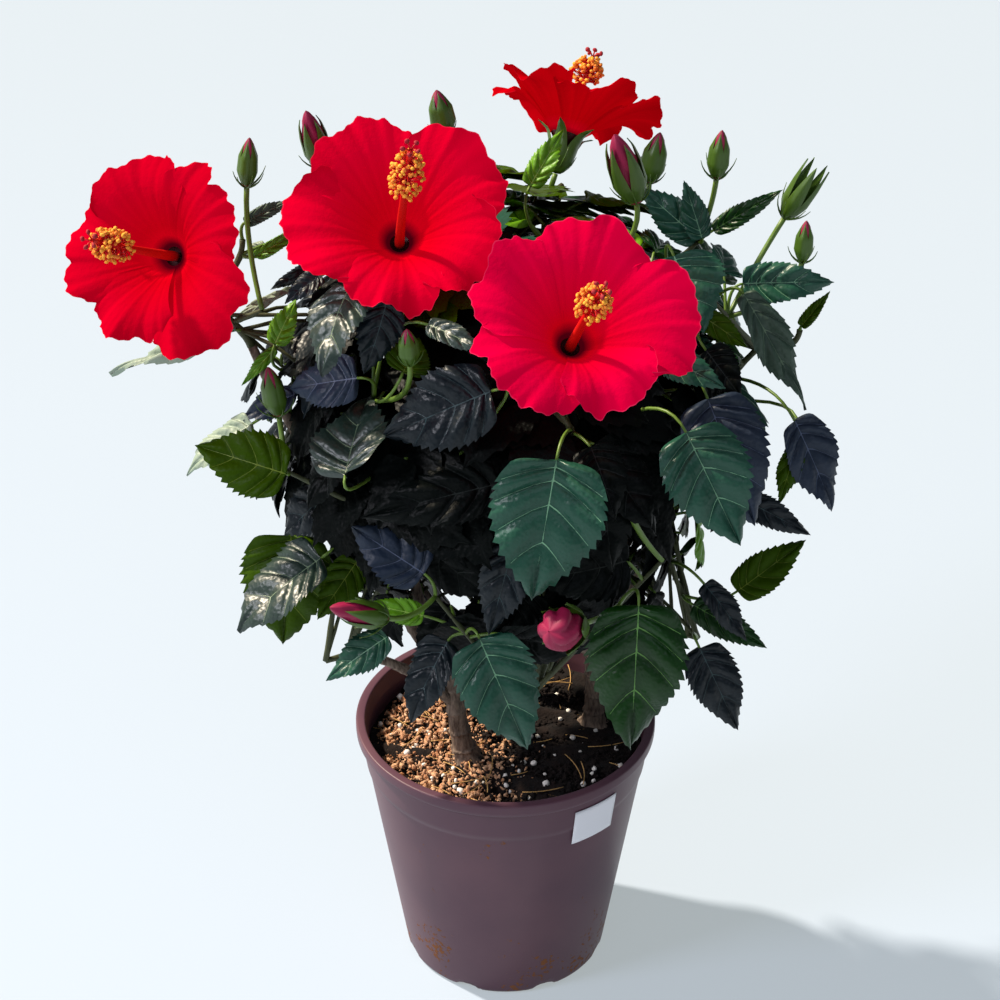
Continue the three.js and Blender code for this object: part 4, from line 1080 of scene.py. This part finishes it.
bloomLook = {
    "rows": 26, "columns": 61, "depth": 0.47, "curl": 112,
    "spread": (40, 45),  # half angle of a petal in degrees, at the throat and at its widest
    "over": 3.6,  # millimetres between the upper and the under edge of neighbours
    "side": 0.34,  # of a petal's length, that its outline falls back toward its sides
    "ruffle": 6.5, "ruffles": 2.3, "pleat": 0.2, "crinkle": 1.0, "scallop": 0.02, "notch": 0.07,
    "underlap": 0.3,  # of the light, that a petal over its neighbour holds back: painted shade on the painted glow
    "fold": 0.16,  # of the light, that the folds hold back: painted shade on the painted glow
    # for each flower, its petals' lengths by turn and its column's length, as shares of its radius
    "shares": {
        "outer_left": ((1.0, 1.05, 0.93, 1.24, 1.1), 1.2),
        "top_left": ((1.08, 1.1, 0.93, 0.94, 1.08), 1.3),
        "front": ((1.04, 1.08, 0.87, 1.12, 1.1), 1.05),
        "top_back": ((0.98, 1.04, 0.88, 1.08, 1.0), 1.0),
    },
    # for each flower, the red of its petals, the rose of their outer half and the thin pale rim; they differ
    # as painted light, lightest for the front flower and darkest for the one turned away
    "tones": {
        "outer_left": ("80000a", "840012", "8e0c22"),
        "top_left": ("86000c", "900018", "9c1830"),
        "front": ("880014", "940024", "a01e3e"),
        "top_back": ("800004", "860006", "900c18"),
    },
    "throat": "360008", "deep": "8a000c", "crumple": 4.0,
    "column": "c41410", "yellow": "f4a630", "orange": "e88226", "stigma": "9a0a1e",
    "through": 1.45,  # painted glow: an emission in the petals' own colour that stands for daylight passing the thin petals
    "columnRadii": (3.0, 1.5),
    "throatCup": (9.5, 7),  # millimetres wide and deep
    "anthers": 76,  # of each tint
    "antherAlong": (0.62, 0.93),  # shares of the column where their filaments stand
    "filament": (8.8, 0.32),  # millimetres long and thick
    "grain": (1.1, 1.65),
    "pads": (4.4, 3.6, 1.6, 0.45),  # of the stigma: how far out and up, their size, their stalks' radius
    # how far each column bends up and to its side, as shares of its length
    "columnBend": {
        "outer_left": (0.02, 0.12), "top_left": (0.18, -0.06),
        "front": (-0.02, 0), "top_back": (0.06, 0.06),
    },
}


# A flower's axes: two ways across, the first one up, and the way it faces.
def bloomFrame(row):
    side = squared(up, row["facing"])
    return np.stack([side, np.cross(row["facing"], side), row["facing"]])


# The five petals over t, throat to edge, and c, side to side: a funnel by the sine of t that flares
# level, one side over its neighbour, waved and pleated more toward the edge.
def petals(row, seed):
    d = np.random.default_rng(seed)
    t = np.linspace(0, 1, bloomLook["rows"])[:, None]
    c = np.linspace(-1, 1, bloomLook["columns"])[None]
    look = bloomLook
    any6 = lambda: d.uniform(0, 6.28)
    parts = []
    for k in range(5):
        half = np.radians(mix(look["spread"], np.sin(np.pi / 2 * np.minimum(1, t / 0.72)) ** 0.8))
        turn = 2 * np.pi * k / 5 + np.radians(row["roll"] + 18) + half * c
        wave = np.sin(look["ruffles"] * np.pi * c * 0.5 + any6())
        wave = wave + 0.4 * np.sin(2.3 * look["ruffles"] * np.pi * c * 0.5 + any6())
        fine = np.sin(23 * c + any6() + 2 * t) + 0.5 * np.sin(41 * c + 3 * t + any6())
        tear = look["notch"] * np.exp(-((c - d.uniform(-0.4, 0.4)) / 0.12) ** 2)
        edge = 1 - look["side"] * np.abs(c) ** 3.2 - tear
        edge = edge + look["scallop"] * np.sin(17 * c + any6()) * np.sin(5.3 * c + k)
        edge = edge + 0.5 * look["scallop"] * np.sin(43 * c + any6())
        edge = 1 + (edge - 1) * t**4
        size = row["radius"] * look["shares"][row["mass"]][0][k]
        r = 5.5 + (size - 5.5) * t * edge
        deep = row["radius"] * look["depth"] * np.sin(np.radians(look["curl"]) * t * edge)
        h = deep + look["over"] * c * t * 0.5 + look["ruffle"] * wave * t**3
        h = h + look["pleat"] * fine * np.sin(np.pi * np.minimum(t * 1.1, 1)) ** 0.5
        h = h + look["crinkle"] * fine * t**6
        h = h - 2.5 + 4.0 * d.uniform(-1, 1) * t**2
        # painted shade: the fold value dims the glow under a neighbour's edge and on one side of each wave
        # and pleat
        under = np.clip((np.abs(c) - 0.62) / 0.3, 0, 1) * (c < 0)
        fold = 1 - look["underlap"] * under * np.minimum(1, 3 * t)
        fold = fold * (1 + look["fold"] * (np.gradient(wave, axis=1) / 0.1 - 1) * t**1.5)
        fold = fold * (1 + 0.3 * look["fold"] * fine * np.minimum(1, 2 * t))
        parts.append(sheet(row["at"] + polar(r, turn, h) @ bloomFrame(row), value=t + 0 * c, fold=fold))
    return parts


# Hibiscus petal: thin crumpled tissue, silky, saturated red, dark wine at the throat. It has a painted glow
# in its own colour for the light through the tissue.
def petalMaterial(mass):
    material, tree, shader = newMaterial(
        "silky_petal_" + mass, Roughness=0.65, IOR=1.4, Specular_IOR_Level=0.0
    )
    red, rose, rim = bloomLook["tones"][mass]
    share = addNode(tree, "ShaderNodeAttribute", attributes={"attribute_name": "share"})
    stops = [(0.03, bloomLook["throat"]), (0.12, bloomLook["deep"]), (0.22, red), (0.7, rose)]
    ramp = addRamp(tree, share, stops + [(0.985, rose), (1.0, rim)])
    # painted shade: the fold attribute dims the painted glow
    fold = addNode(tree, "ShaderNodeAttribute", attributes={"attribute_name": "fold"})
    strength = addProduct(tree, (fold, "Fac"), bloomLook["through"])
    colour = (ramp, "Color")
    feed(tree, shader, Base_Color=colour, Emission_Color=colour, Emission_Strength=(strength, 0))
    crumple = addNoise(tree, bloomLook["crumple"], Detail=3.0, Roughness=0.6)
    addBump(tree, shader, (crumple, "Fac"), 0.45, 1.4)
    return material


# The column's line: straight out of the throat, rising with the square of the way.
def columnLine(row, share):
    reach = row["radius"] * bloomLook["shares"][row["mass"]][1]
    h = np.asarray(share, float) * (reach + 4) - 4
    rise, lean = (bend * np.maximum(h, 0) ** 2 / reach for bend in bloomLook["columnBend"][row["mass"]])
    local = np.stack([rise, lean, h], -1)
    return row["at"] + local @ bloomFrame(row)


columnMat = newMaterial("fleshy_column", Base_Color=linear(bloomLook["column"]), Roughness=0.4, IOR=1.4)[0]
stigmaMat = newMaterial("velvet_stigma", Base_Color=linear(bloomLook["stigma"]), Roughness=0.75)[0]
columnParts, filamentParts, stigmaParts = [], [], []
antherParts = {"yellow": [], "orange": []}
steps = np.linspace(0, 1, 30)
for k, row in enumerate(bloomRows):
    buildPiece("petals_" + row["mass"], petals(row, 31 + k), [petalMaterial(row["mass"])])
    columnParts.append(tubes([columnLine(row, steps)], mix(bloomLook["columnRadii"], steps), 12))
    d = np.random.default_rng(71 + k)
    n = bloomLook["anthers"]
    long, thick = bloomLook["filament"]
    for parts in antherParts.values():
        share = mix(bloomLook["antherAlong"], d.uniform(0, 1, n) ** 0.8)
        foot = columnLine(row, share)
        out = np.stack([d.normal(size=n), d.normal(size=n), mix((0.0, 0.7), d.uniform(0, 1, n))], -1)
        out[:, :2] /= np.linalg.norm(out[:, :2], axis=1, keepdims=True)
        out /= np.linalg.norm(out, axis=1, keepdims=True)
        size = long * np.sin(np.pi * np.clip((share - 0.55) / 0.42, 0.12, 0.95)) ** 0.6
        size = size + d.uniform(-0.8, 1.6, n)
        ends = foot + (out * size[:, None]) @ bloomFrame(row)
        filamentParts.append(tubes(np.stack([foot, (foot + ends) / 2, ends], 1), thick, 4))
        grains = d.uniform(*bloomLook["grain"], (n, 1)) * [1.0, 0.78, 0.72]
        parts.append(lumps(ends, grains, 5, 7, 0.1, seed=k))
    tip = columnLine(row, [0.99])[0]
    out, rise, size, thick = bloomLook["pads"]
    pads = tip + polar(out, 2 * np.pi * np.arange(5) / 5 + 0.4, rise) @ bloomFrame(row)
    arms = np.stack([tip + 0 * pads, (tip + pads) / 2 + row["facing"], pads], 1)
    filamentParts.append(tubes(arms, thick, 5))
    stigmaParts.append(lumps(pads, np.full((5, 3), size) * [1, 1, 0.7], 6, 8, 0.05, seed=k))


# The throat under the petals: a small cup turned about the way the flower faces.
def throatCup(row):
    t = np.linspace(0, 1, 8)[:, None]
    wide, deep = bloomLook["throatCup"]
    a = 2 * np.pi * np.arange(30)[None] / 30
    return sheet(row["at"] + polar(0.2 + wide * t, a, -deep + deep * t**2) @ bloomFrame(row), wrap=True)


throatMat = newMaterial("wine_throat", Base_Color=linear(bloomLook["throat"]), Roughness=0.5)[0]
buildPiece("throats", [throatCup(row) for row in bloomRows], [throatMat])
buildPiece("columns", columnParts + filamentParts, [columnMat])
for key, parts in antherParts.items():
    pollen = newMaterial("pollen_" + key, Base_Color=linear(bloomLook[key]), Roughness=0.8, IOR=1.5)[0]
    buildPiece("anthers_" + key, parts, [pollen])
buildPiece("stigmas", stigmaParts, [stigmaMat])
print("blooms dressed")

# ---- sepals, bracts and buds ----

budLook = {
    "cup": "3f5c16", "petal": "8f1540", "rib": 0.05,
    "bracts": 7, "bract": (11, 17), "bractWide": 0.9, "bractAt": 34,  # on a bud of this length
    "split": {"closed": 0.62, "others": 0.32},  # share of a bud's length where the sepals part
    "furled": 0.93,  # of the bud's radius
    "groove": {"slim": 0.13, "round": 0.3},  # of a furled petal's radius
    "calyx": (28, 8.8, 0.5),  # under a bloom: length, radius, split
    "calyxBracts": (8, (12, 17)),
    "bulbs": {"slim": (0.5, 0.86, 0.84, 0.52, 0.2, 0.03), "round": (0.6, 1.0, 1.35, 1.15, 0.75, 0.05)},
    "widths": {
        "closed": (0.3, 0.62, 1, 0.92, 0.5, 0.08),
        "parted": (0.3, 0.62, 1, 1.0, 0.86, 0.62),
        "spread": (0.3, 0.62, 1, 1.05, 1.0, 0.95),
        "round": (0.3, 0.62, 1.1, 1.3, 1.4, 1.5),
        "open": (0.35, 0.62, 0.95, 1.05, 1.35, 2.1),
    },
}


# Five sepals over t, foot to tip, and c, side to side: together a ribbed egg by the widths, each
# narrowing to its own point above the split.
def sepals(at, axes, long, radius, split, widths="closed"):
    t = np.linspace(0, 1, 17)[:, None]
    c = np.linspace(-1, 1, 9)[None]
    width = np.interp(t, [0, 0.08, 0.3, 0.62, 0.85, 1], budLook["widths"][widths]) * radius
    narrow = np.clip((1 - t) / max(1 - split, 0.02), 0, 1) ** 0.75
    parts = []
    for k in range(5):
        turn = 2 * np.pi * k / 5 + np.pi / 5 * c * narrow
        r = width * (1 + budLook["rib"] * (1 - 2 * np.abs(c)))
        parts.append(sheet(at + polar(r, turn, long * t) @ axes))
    return parts


# A furled petal bulb: an egg drawn to a point, with a spiral groove for each petal.
def furled(at, axes, long, radius, form):
    t = np.linspace(0, 1, 22)[:, None]
    a = 2 * np.pi * np.arange(30)[None] / 30
    form = "round" if form == "round" else "slim"
    width = np.interp(t, [0, 0.25, 0.6, 0.85, 0.97, 1], budLook["bulbs"][form]) * radius
    depth = budLook["groove"][form]
    groove = 1 - depth * np.abs(np.sin(2.5 * (a + 2.2 * t))) ** 6 * np.minimum(1, 3 * t)
    return sheet(at + polar(width * groove, a, long * t) @ axes, wrap=True)


# Thin bracts in a ring: tapering tubes that leave the stalk and bend up along the way it faces.
def bractTubes(at, axes, count, long, seed):
    d = np.random.default_rng(seed)
    s = np.linspace(0, 1, 6)
    paths = []
    for k in range(count):
        a = 2 * np.pi * (k + d.uniform(-0.2, 0.2)) / count
        size = d.uniform(*long)
        out, rise = size * np.sin(1.2 * s) * 0.8, size * (0.3 * s + 0.55 * s**2)
        paths.append(at + polar(out, a, rise) @ axes)
    return tubes(paths, budLook["bractWide"] * (1 - 0.8 * s), 5)


cupMat = newMaterial("waxed_sepal", Base_Color=linear(budLook["cup"]), Roughness=0.42, IOR=1.45)[0]
furledMat = newMaterial("furled_petal", Base_Color=linear(budLook["petal"]), Roughness=0.5, IOR=1.4)[0]
cupParts, furledParts = [], []
for k, row in enumerate(budRows):
    axes, at, long, radius, form = bloomFrame(row), row["at"], row["long"], row["radius"], row["form"]
    split = budLook["split"]["closed" if form == "closed" else "others"]
    cupParts += sepals(at, axes, long * row["cover"], radius, split, form)
    if form != "spread":
        furledParts.append(furled(at + row["facing"], axes, long - 1, radius * budLook["furled"], form))
    bractLengths = np.array(budLook["bract"]) * long / budLook["bractAt"]
    cupParts.append(bractTubes(at - row["facing"], axes, budLook["bracts"], bractLengths, k))
for k, row in enumerate(bloomRows):
    axes = bloomFrame(row)
    foot = row["at"] + row["facing"] * (bloomFoot + 1)
    cupParts += sepals(foot, axes, *budLook["calyx"], "open")
    cupParts.append(bractTubes(foot, axes, *budLook["calyxBracts"], 40 + k))
buildPiece("sepals_and_bracts", cupParts, [cupMat])
buildPiece("furled_petals", furledParts, [furledMat])
print("buds dressed")

# ---- pot ----

pot = {
    "height": 180, "lipRadius": 96.5, "lipHeight": 8.5, "lipWidth": 6, "lipRound": 1.2,
    "bandRadius": 93, "bandHeight": 22, "footRadius": 66, "footRound": 4, "wall": 2, "floor": 3,
    "notches": 8, "notchWide": 14, "notchHigh": 5, "notchRows": 10,
    "sides": 160, "light": "60414b", "dark": "533744", "dirt": "7c4c2c",
    "mottle": 60, "speck": 3.2, "splash": 34, "grain": 0.9,  # millimetres, each noise's grains
    "splashed": {"From_Min": 0.02, "From_Max": 0.07, "To_Min": 1.0, "To_Max": 0.72},  # less of it higher up
}


# The wall's radius: in proportion to the height, from the foot to the band.
def wallRadius(z):
    return mix((pot["footRadius"], pot["bandRadius"]), z / (pot["height"] - pot["lipHeight"]))


# The pot turned about its axis from rounded pairs of radius and height, outside then inside.
def potParts():
    lipFoot = pot["height"] - pot["lipHeight"]
    bandFoot = lipFoot - pot["bandHeight"]
    top, lip, curl, heel = pot["height"], pot["lipRadius"], pot["lipRound"], pot["footRound"]
    inner = lip - pot["lipWidth"]
    swell, band = wallRadius(bandFoot) + 0.9, pot["bandRadius"] + 0.6
    bend = np.linspace(0, np.pi / 2, 5)
    profile = [(0, 0.0), (pot["footRadius"] - heel - 6, 0)]
    profile += [(wallRadius(heel) - heel * (1 - np.sin(b)), heel * (1 - np.cos(b))) for b in bend]
    profile += [(wallRadius(z), z) for z in np.linspace(heel + 4, bandFoot - 3, 22)]
    profile += [(wallRadius(bandFoot) - 0.2, bandFoot - 1.2), (swell, bandFoot + 0.4)]
    profile += [(mix((swell, band), s), mix((bandFoot, lipFoot), s)) for s in (0.15, 0.5, 0.9)]
    profile += [(band, lipFoot - 0.4), (lip - 1.2, lipFoot), (lip - 0.2, lipFoot + 1.0)]
    profile += [(lip, lipFoot + 3), (lip, top - 3)]
    profile += [(lip - curl + curl * np.cos(b), top - curl + curl * np.sin(b)) for b in bend]
    profile += [(inner + curl - curl * np.sin(b), top - curl + curl * np.cos(b)) for b in bend]
    profile += [(inner - 0.4, lipFoot + 1), (inner - 1.5, lipFoot - 2)]
    profile += [(wallRadius(z) - pot["wall"] - 1.5, z) for z in np.linspace(lipFoot - 6, pot["floor"], 14)]
    profile += [(0, pot["floor"])]
    r, z = np.array(profile, float).T
    a = 2 * np.pi * np.arange(pot["sides"]) / pot["sides"]
    r, z, a = r[:, None], z[:, None] + 0 * a[None], a[None]
    off = np.abs(((a * pot["notches"] / (2 * np.pi)) % 1) - 0.5) * 2 * np.pi * pot["footRadius"]
    notch = np.clip(1.6 - off / pot["notches"] / pot["notchWide"] * 2, 0, 1)
    low = np.arange(len(r))[:, None] < pot["notchRows"]
    low = low & (z < pot["notchHigh"]) & (r > pot["footRadius"] - 14)
    z = np.where(low, np.maximum(z, pot["notchHigh"] * notch), z)
    return [sheet(polar(r, a, z), wrap=True)]


# Injection-moulded polypropylene: satin, faintly mottled, with soil splashed on the lower wall.
def potMaterial():
    material, tree, shader = newMaterial("moulded_polypropylene", IOR=1.49, Specular_IOR_Level=0.3)
    mottle = addNoise(tree, pot["mottle"], Detail=4.0)
    tone = addRamp(tree, mottle, [(0.3, pot["dark"]), (0.7, pot["light"])])
    specks = addNoise(tree, pot["speck"], Detail=3.0)
    splash = addNoise(tree, pot["splash"], Detail=2.0)
    both = addProduct(tree, (specks, "Fac"), (splash, "Fac"))
    place = addNode(tree, "ShaderNodeTexCoord")
    height = addNode(tree, "ShaderNodeSeparateXYZ", {"Vector": (place, "Object")})
    low = addNode(tree, "ShaderNodeMapRange", {"Value": (height, "Z")}, **pot["splashed"])
    lowered = addProduct(tree, (both, 0), (low, 0))
    mask = addNode(tree, "ShaderNodeMapRange", {"Value": (lowered, 0)}, From_Min=0.335, From_Max=0.36)
    paint = addNode(tree, "ShaderNodeMix", {"Factor": (mask, 0)}, {"data_type": "RGBA"})
    tree.links.new(tone.outputs["Color"], paint.inputs[6])
    paint.inputs[7].default_value = linear(pot["dirt"])
    rough = addNode(tree, "ShaderNodeMapRange", {"Value": (mask, 0)}, To_Min=0.42, To_Max=0.9)
    feed(tree, shader, Base_Color=(paint, 2), Roughness=(rough, 0))
    bump = addBump(tree, shader, (addNoise(tree, pot["grain"], Detail=2.0), "Fac"), 0.25, 0.2)
    addBump(tree, shader, (mask, 0), 0.6, 0.6, Normal=(bump, "Normal"))
    return material


buildPiece("moulded_pot", potParts(), [potMaterial()], ["pot"])

label = {
    "turn": -52, "width": 33, "height": 28, "below": 7, "proud": 1.5, "lift": 0.8,
    "tone": "eceaf0", "fibre": 0.8, "thick": 0.4,
}


# The bare label: a strip of the wall's cone, a little proud of it, with a faint lift at one corner.
def labelParts():
    top = pot["height"] - pot["lipHeight"] - label["below"]
    v = np.linspace(0, 1, 9)[:, None]
    s = np.linspace(-0.5, 0.5, 15)[None]
    z = top - label["height"] * v + 0 * s
    turn = np.radians(label["turn"]) + label["width"] / pot["bandRadius"] * s
    r = wallRadius(z) + label["proud"] + label["lift"] * np.clip(s + 0.1, 0, 1) ** 2 * v
    return [{"points": polar(r, turn, z), "faces": gridFaces(1, *z.shape)[:, ::-1]}]


# Coated label paper: off-white, faintly fibrous, a little scuffed.
labelMat, labelTree, labelShader = newMaterial(
    "coated_label_paper", Base_Color=linear(label["tone"]), Roughness=0.5
)
addBump(labelTree, labelShader, (addNoise(labelTree, label["fibre"], Detail=3.0), "Fac"), 0.3, 0.1)
labelPiece = buildPiece("bare_label", labelParts(), [labelMat], ["label"])
solidify = labelPiece.modifiers.new("thickness", "SOLIDIFY")
solidify.thickness = label["thick"] / 1000
print("pot and label dressed")

# ---- soil ----

soilLook = {
    # The rust and pale coir colours are lightened as painted sunlight; the dark and brown of the peat are
    # near black as painted shade.
    "dark": "070404", "brown": "1c0e09", "rust": "a86c46", "painted_sunlit": "f2c8a2", "perlite": "e8e2da",
    "straw": "c39a5e", "bedDeep": 18, "clods": (60, 34, 19, 9, 5.5),
    "paintedShadeClod": 9.0, "paintedSunClod": 5.0, "coirShape": (1.5, 0.9, 0.8), "strawLong": (6, 30), "strawRadius": 0.32,
    "paintedSunEdge": -8,  # crumbs left of this take the pale coir colours as painted sunlight, the others the dark peat as painted shade, give or take the spread
    "paintedSunSpread": 16,
}


# Uneven peat over rings and turns: sines of both, with the edge drawn level at the wall.
def soilParts():
    rings, sides = 46, 120
    r = np.linspace(0.02, 1, rings)[:, None] * (wallRadius(soil["top"]) - 3.4)
    a = 2 * np.pi * np.arange(sides)[None] / sides
    x, y = r * np.cos(a), r * np.sin(a)
    d = np.random.default_rng(9)
    h = 0 * x
    for size in soilLook["clods"]:
        for _ in range(4):
            kx, ky = d.normal(size=2) * 2 * np.pi / size / 1.4
            h = h + size * 0.011 * np.sin(kx * x + ky * y + d.uniform(0, 6.28))
    points = np.stack([x, y, soil["top"] + 1.0 + soil["rough"] * h / 1.6], -1)
    middle = [[0, 0, points[0, :, 2].mean()]]
    skirt = points[-1:] - [0, 0, soilLook["bedDeep"]]
    grid = np.concatenate([points, skirt]).reshape(-1, 3)
    c = np.arange(sides)
    pole = np.full(sides, (rings + 1) * sides)
    fan = np.stack([(c + 1) % sides, c, pole, pole], 1)
    faces = np.concatenate([gridFaces(1, rings + 1, sides, True), fan])
    return [{"points": np.concatenate([grid, middle]), "faces": faces}]


# Peat and coir: matt, crumbly, dark peat as painted shade and pale rust-brown coir as painted sunlight.
def peatMaterial(name, first, second, size):
    material, tree, shader = newMaterial(name, Roughness=0.95, IOR=1.4)
    clod = addNoise(tree, size, Detail=6.0, Roughness=0.7)
    feed(tree, shader, Base_Color=(addRamp(tree, clod, [(0.36, first), (0.68, second)]), "Color"))
    addBump(tree, shader, (clod, "Fac"), 1.0, 3)
    return material


# Places spread evenly over the soil disc by the root of a random share of its radius.
def overSoil(count, seed, lift):
    d = np.random.default_rng(seed)
    r = (soil["radius"] - 3) * np.sqrt(d.uniform(0, 1, count))
    a = d.uniform(0, 2 * np.pi, count)
    return polar(r, a, soil["top"] + 1.5 + d.uniform(0, lift, count)), d


crumbPlaces, d = overSoil(soil["crumbs"], 3, 2.5)
n = len(crumbPlaces)
crumbSizes = (0.55 + 1.7 * d.uniform(0, 1, (n, 1)) ** 4) * d.uniform(0.6, 1.2, (n, 3))
# Painted sunlight and shade: crumbs left of the edge get the pale coir, the others the dark peat.
painted_sunlit = crumbPlaces[:, 0] + d.normal(0, soilLook["paintedSunSpread"], n) < soilLook["paintedSunEdge"]
peatMat = peatMaterial("peat_painted_shade", soilLook["dark"], soilLook["brown"], soilLook["paintedShadeClod"])
coirMat = peatMaterial("coir_painted_sunlit", soilLook["rust"], soilLook["painted_sunlit"], soilLook["paintedSunClod"])
buildPiece("peat_bed", soilParts(), [peatMat], ["soil"])
paintedShadeCrumbs = lumps(crumbPlaces[~painted_sunlit], crumbSizes[~painted_sunlit], 4, 6, 0.4, seed=1)
buildPiece("peat_crumbs", [paintedShadeCrumbs], [peatMat])
coir = lumps(crumbPlaces[painted_sunlit], crumbSizes[painted_sunlit] * soilLook["coirShape"], 4, 6, 0.55, seed=2)
buildPiece("coir_crumbs", [coir], [coirMat])
perlitePlaces, d = overSoil(soil["perlite"], 4, 3.2)
perliteMat = newMaterial("perlite_grain", Base_Color=linear(soilLook["perlite"]), Roughness=0.9)[0]
n = len(perlitePlaces)
grains = lumps(perlitePlaces, d.uniform(1.0, 2.4, (n, 1)) * d.uniform(0.7, 1.1, (n, 3)), 4, 6, 0.2, seed=6)
buildPiece("perlite", [grains], [perliteMat])
strawPlaces, d = overSoil(soil["fibres"], 8, 3.0)
n = len(strawPlaces)
turns = d.uniform(0, np.pi, (n, 1)) + np.linspace(0, 0.25, 7)[None]
reach = d.uniform(*soilLook["strawLong"], (n, 1)) * np.linspace(-0.5, 0.5, 7)[None]
straws = strawPlaces[:, None] + polar(reach, turns, 1.6 + 0.8 * np.sin(4 * turns))
strawMat = newMaterial("coir_fibre", Base_Color=linear(soilLook["straw"]), Roughness=0.8)[0]
buildPiece("coir_fibres", [tubes(straws, soilLook["strawRadius"], 4)], [strawMat])
print("soil dressed")

# ---- floor ----

floorMesh = bpy.data.meshes.new("floor")
floorMesh.from_pydata([(-40, -40, 0), (40, -40, 0), (40, 40, 0), (-40, 40, 0)], [], [(0, 1, 2, 3)])
floor = bpy.data.objects.new("floor", floorMesh)
bpy.context.scene.collection.objects.link(floor)
glow, glowStrength = studio["floorGlow"]
floorMesh.materials.append(
    newMaterial(
        "painted_board", Base_Color=linear(studio["floor"]), Roughness=0.7, Specular_IOR_Level=0.1,
        Emission_Color=linear(glow), Emission_Strength=glowStrength,
    )[0]
)
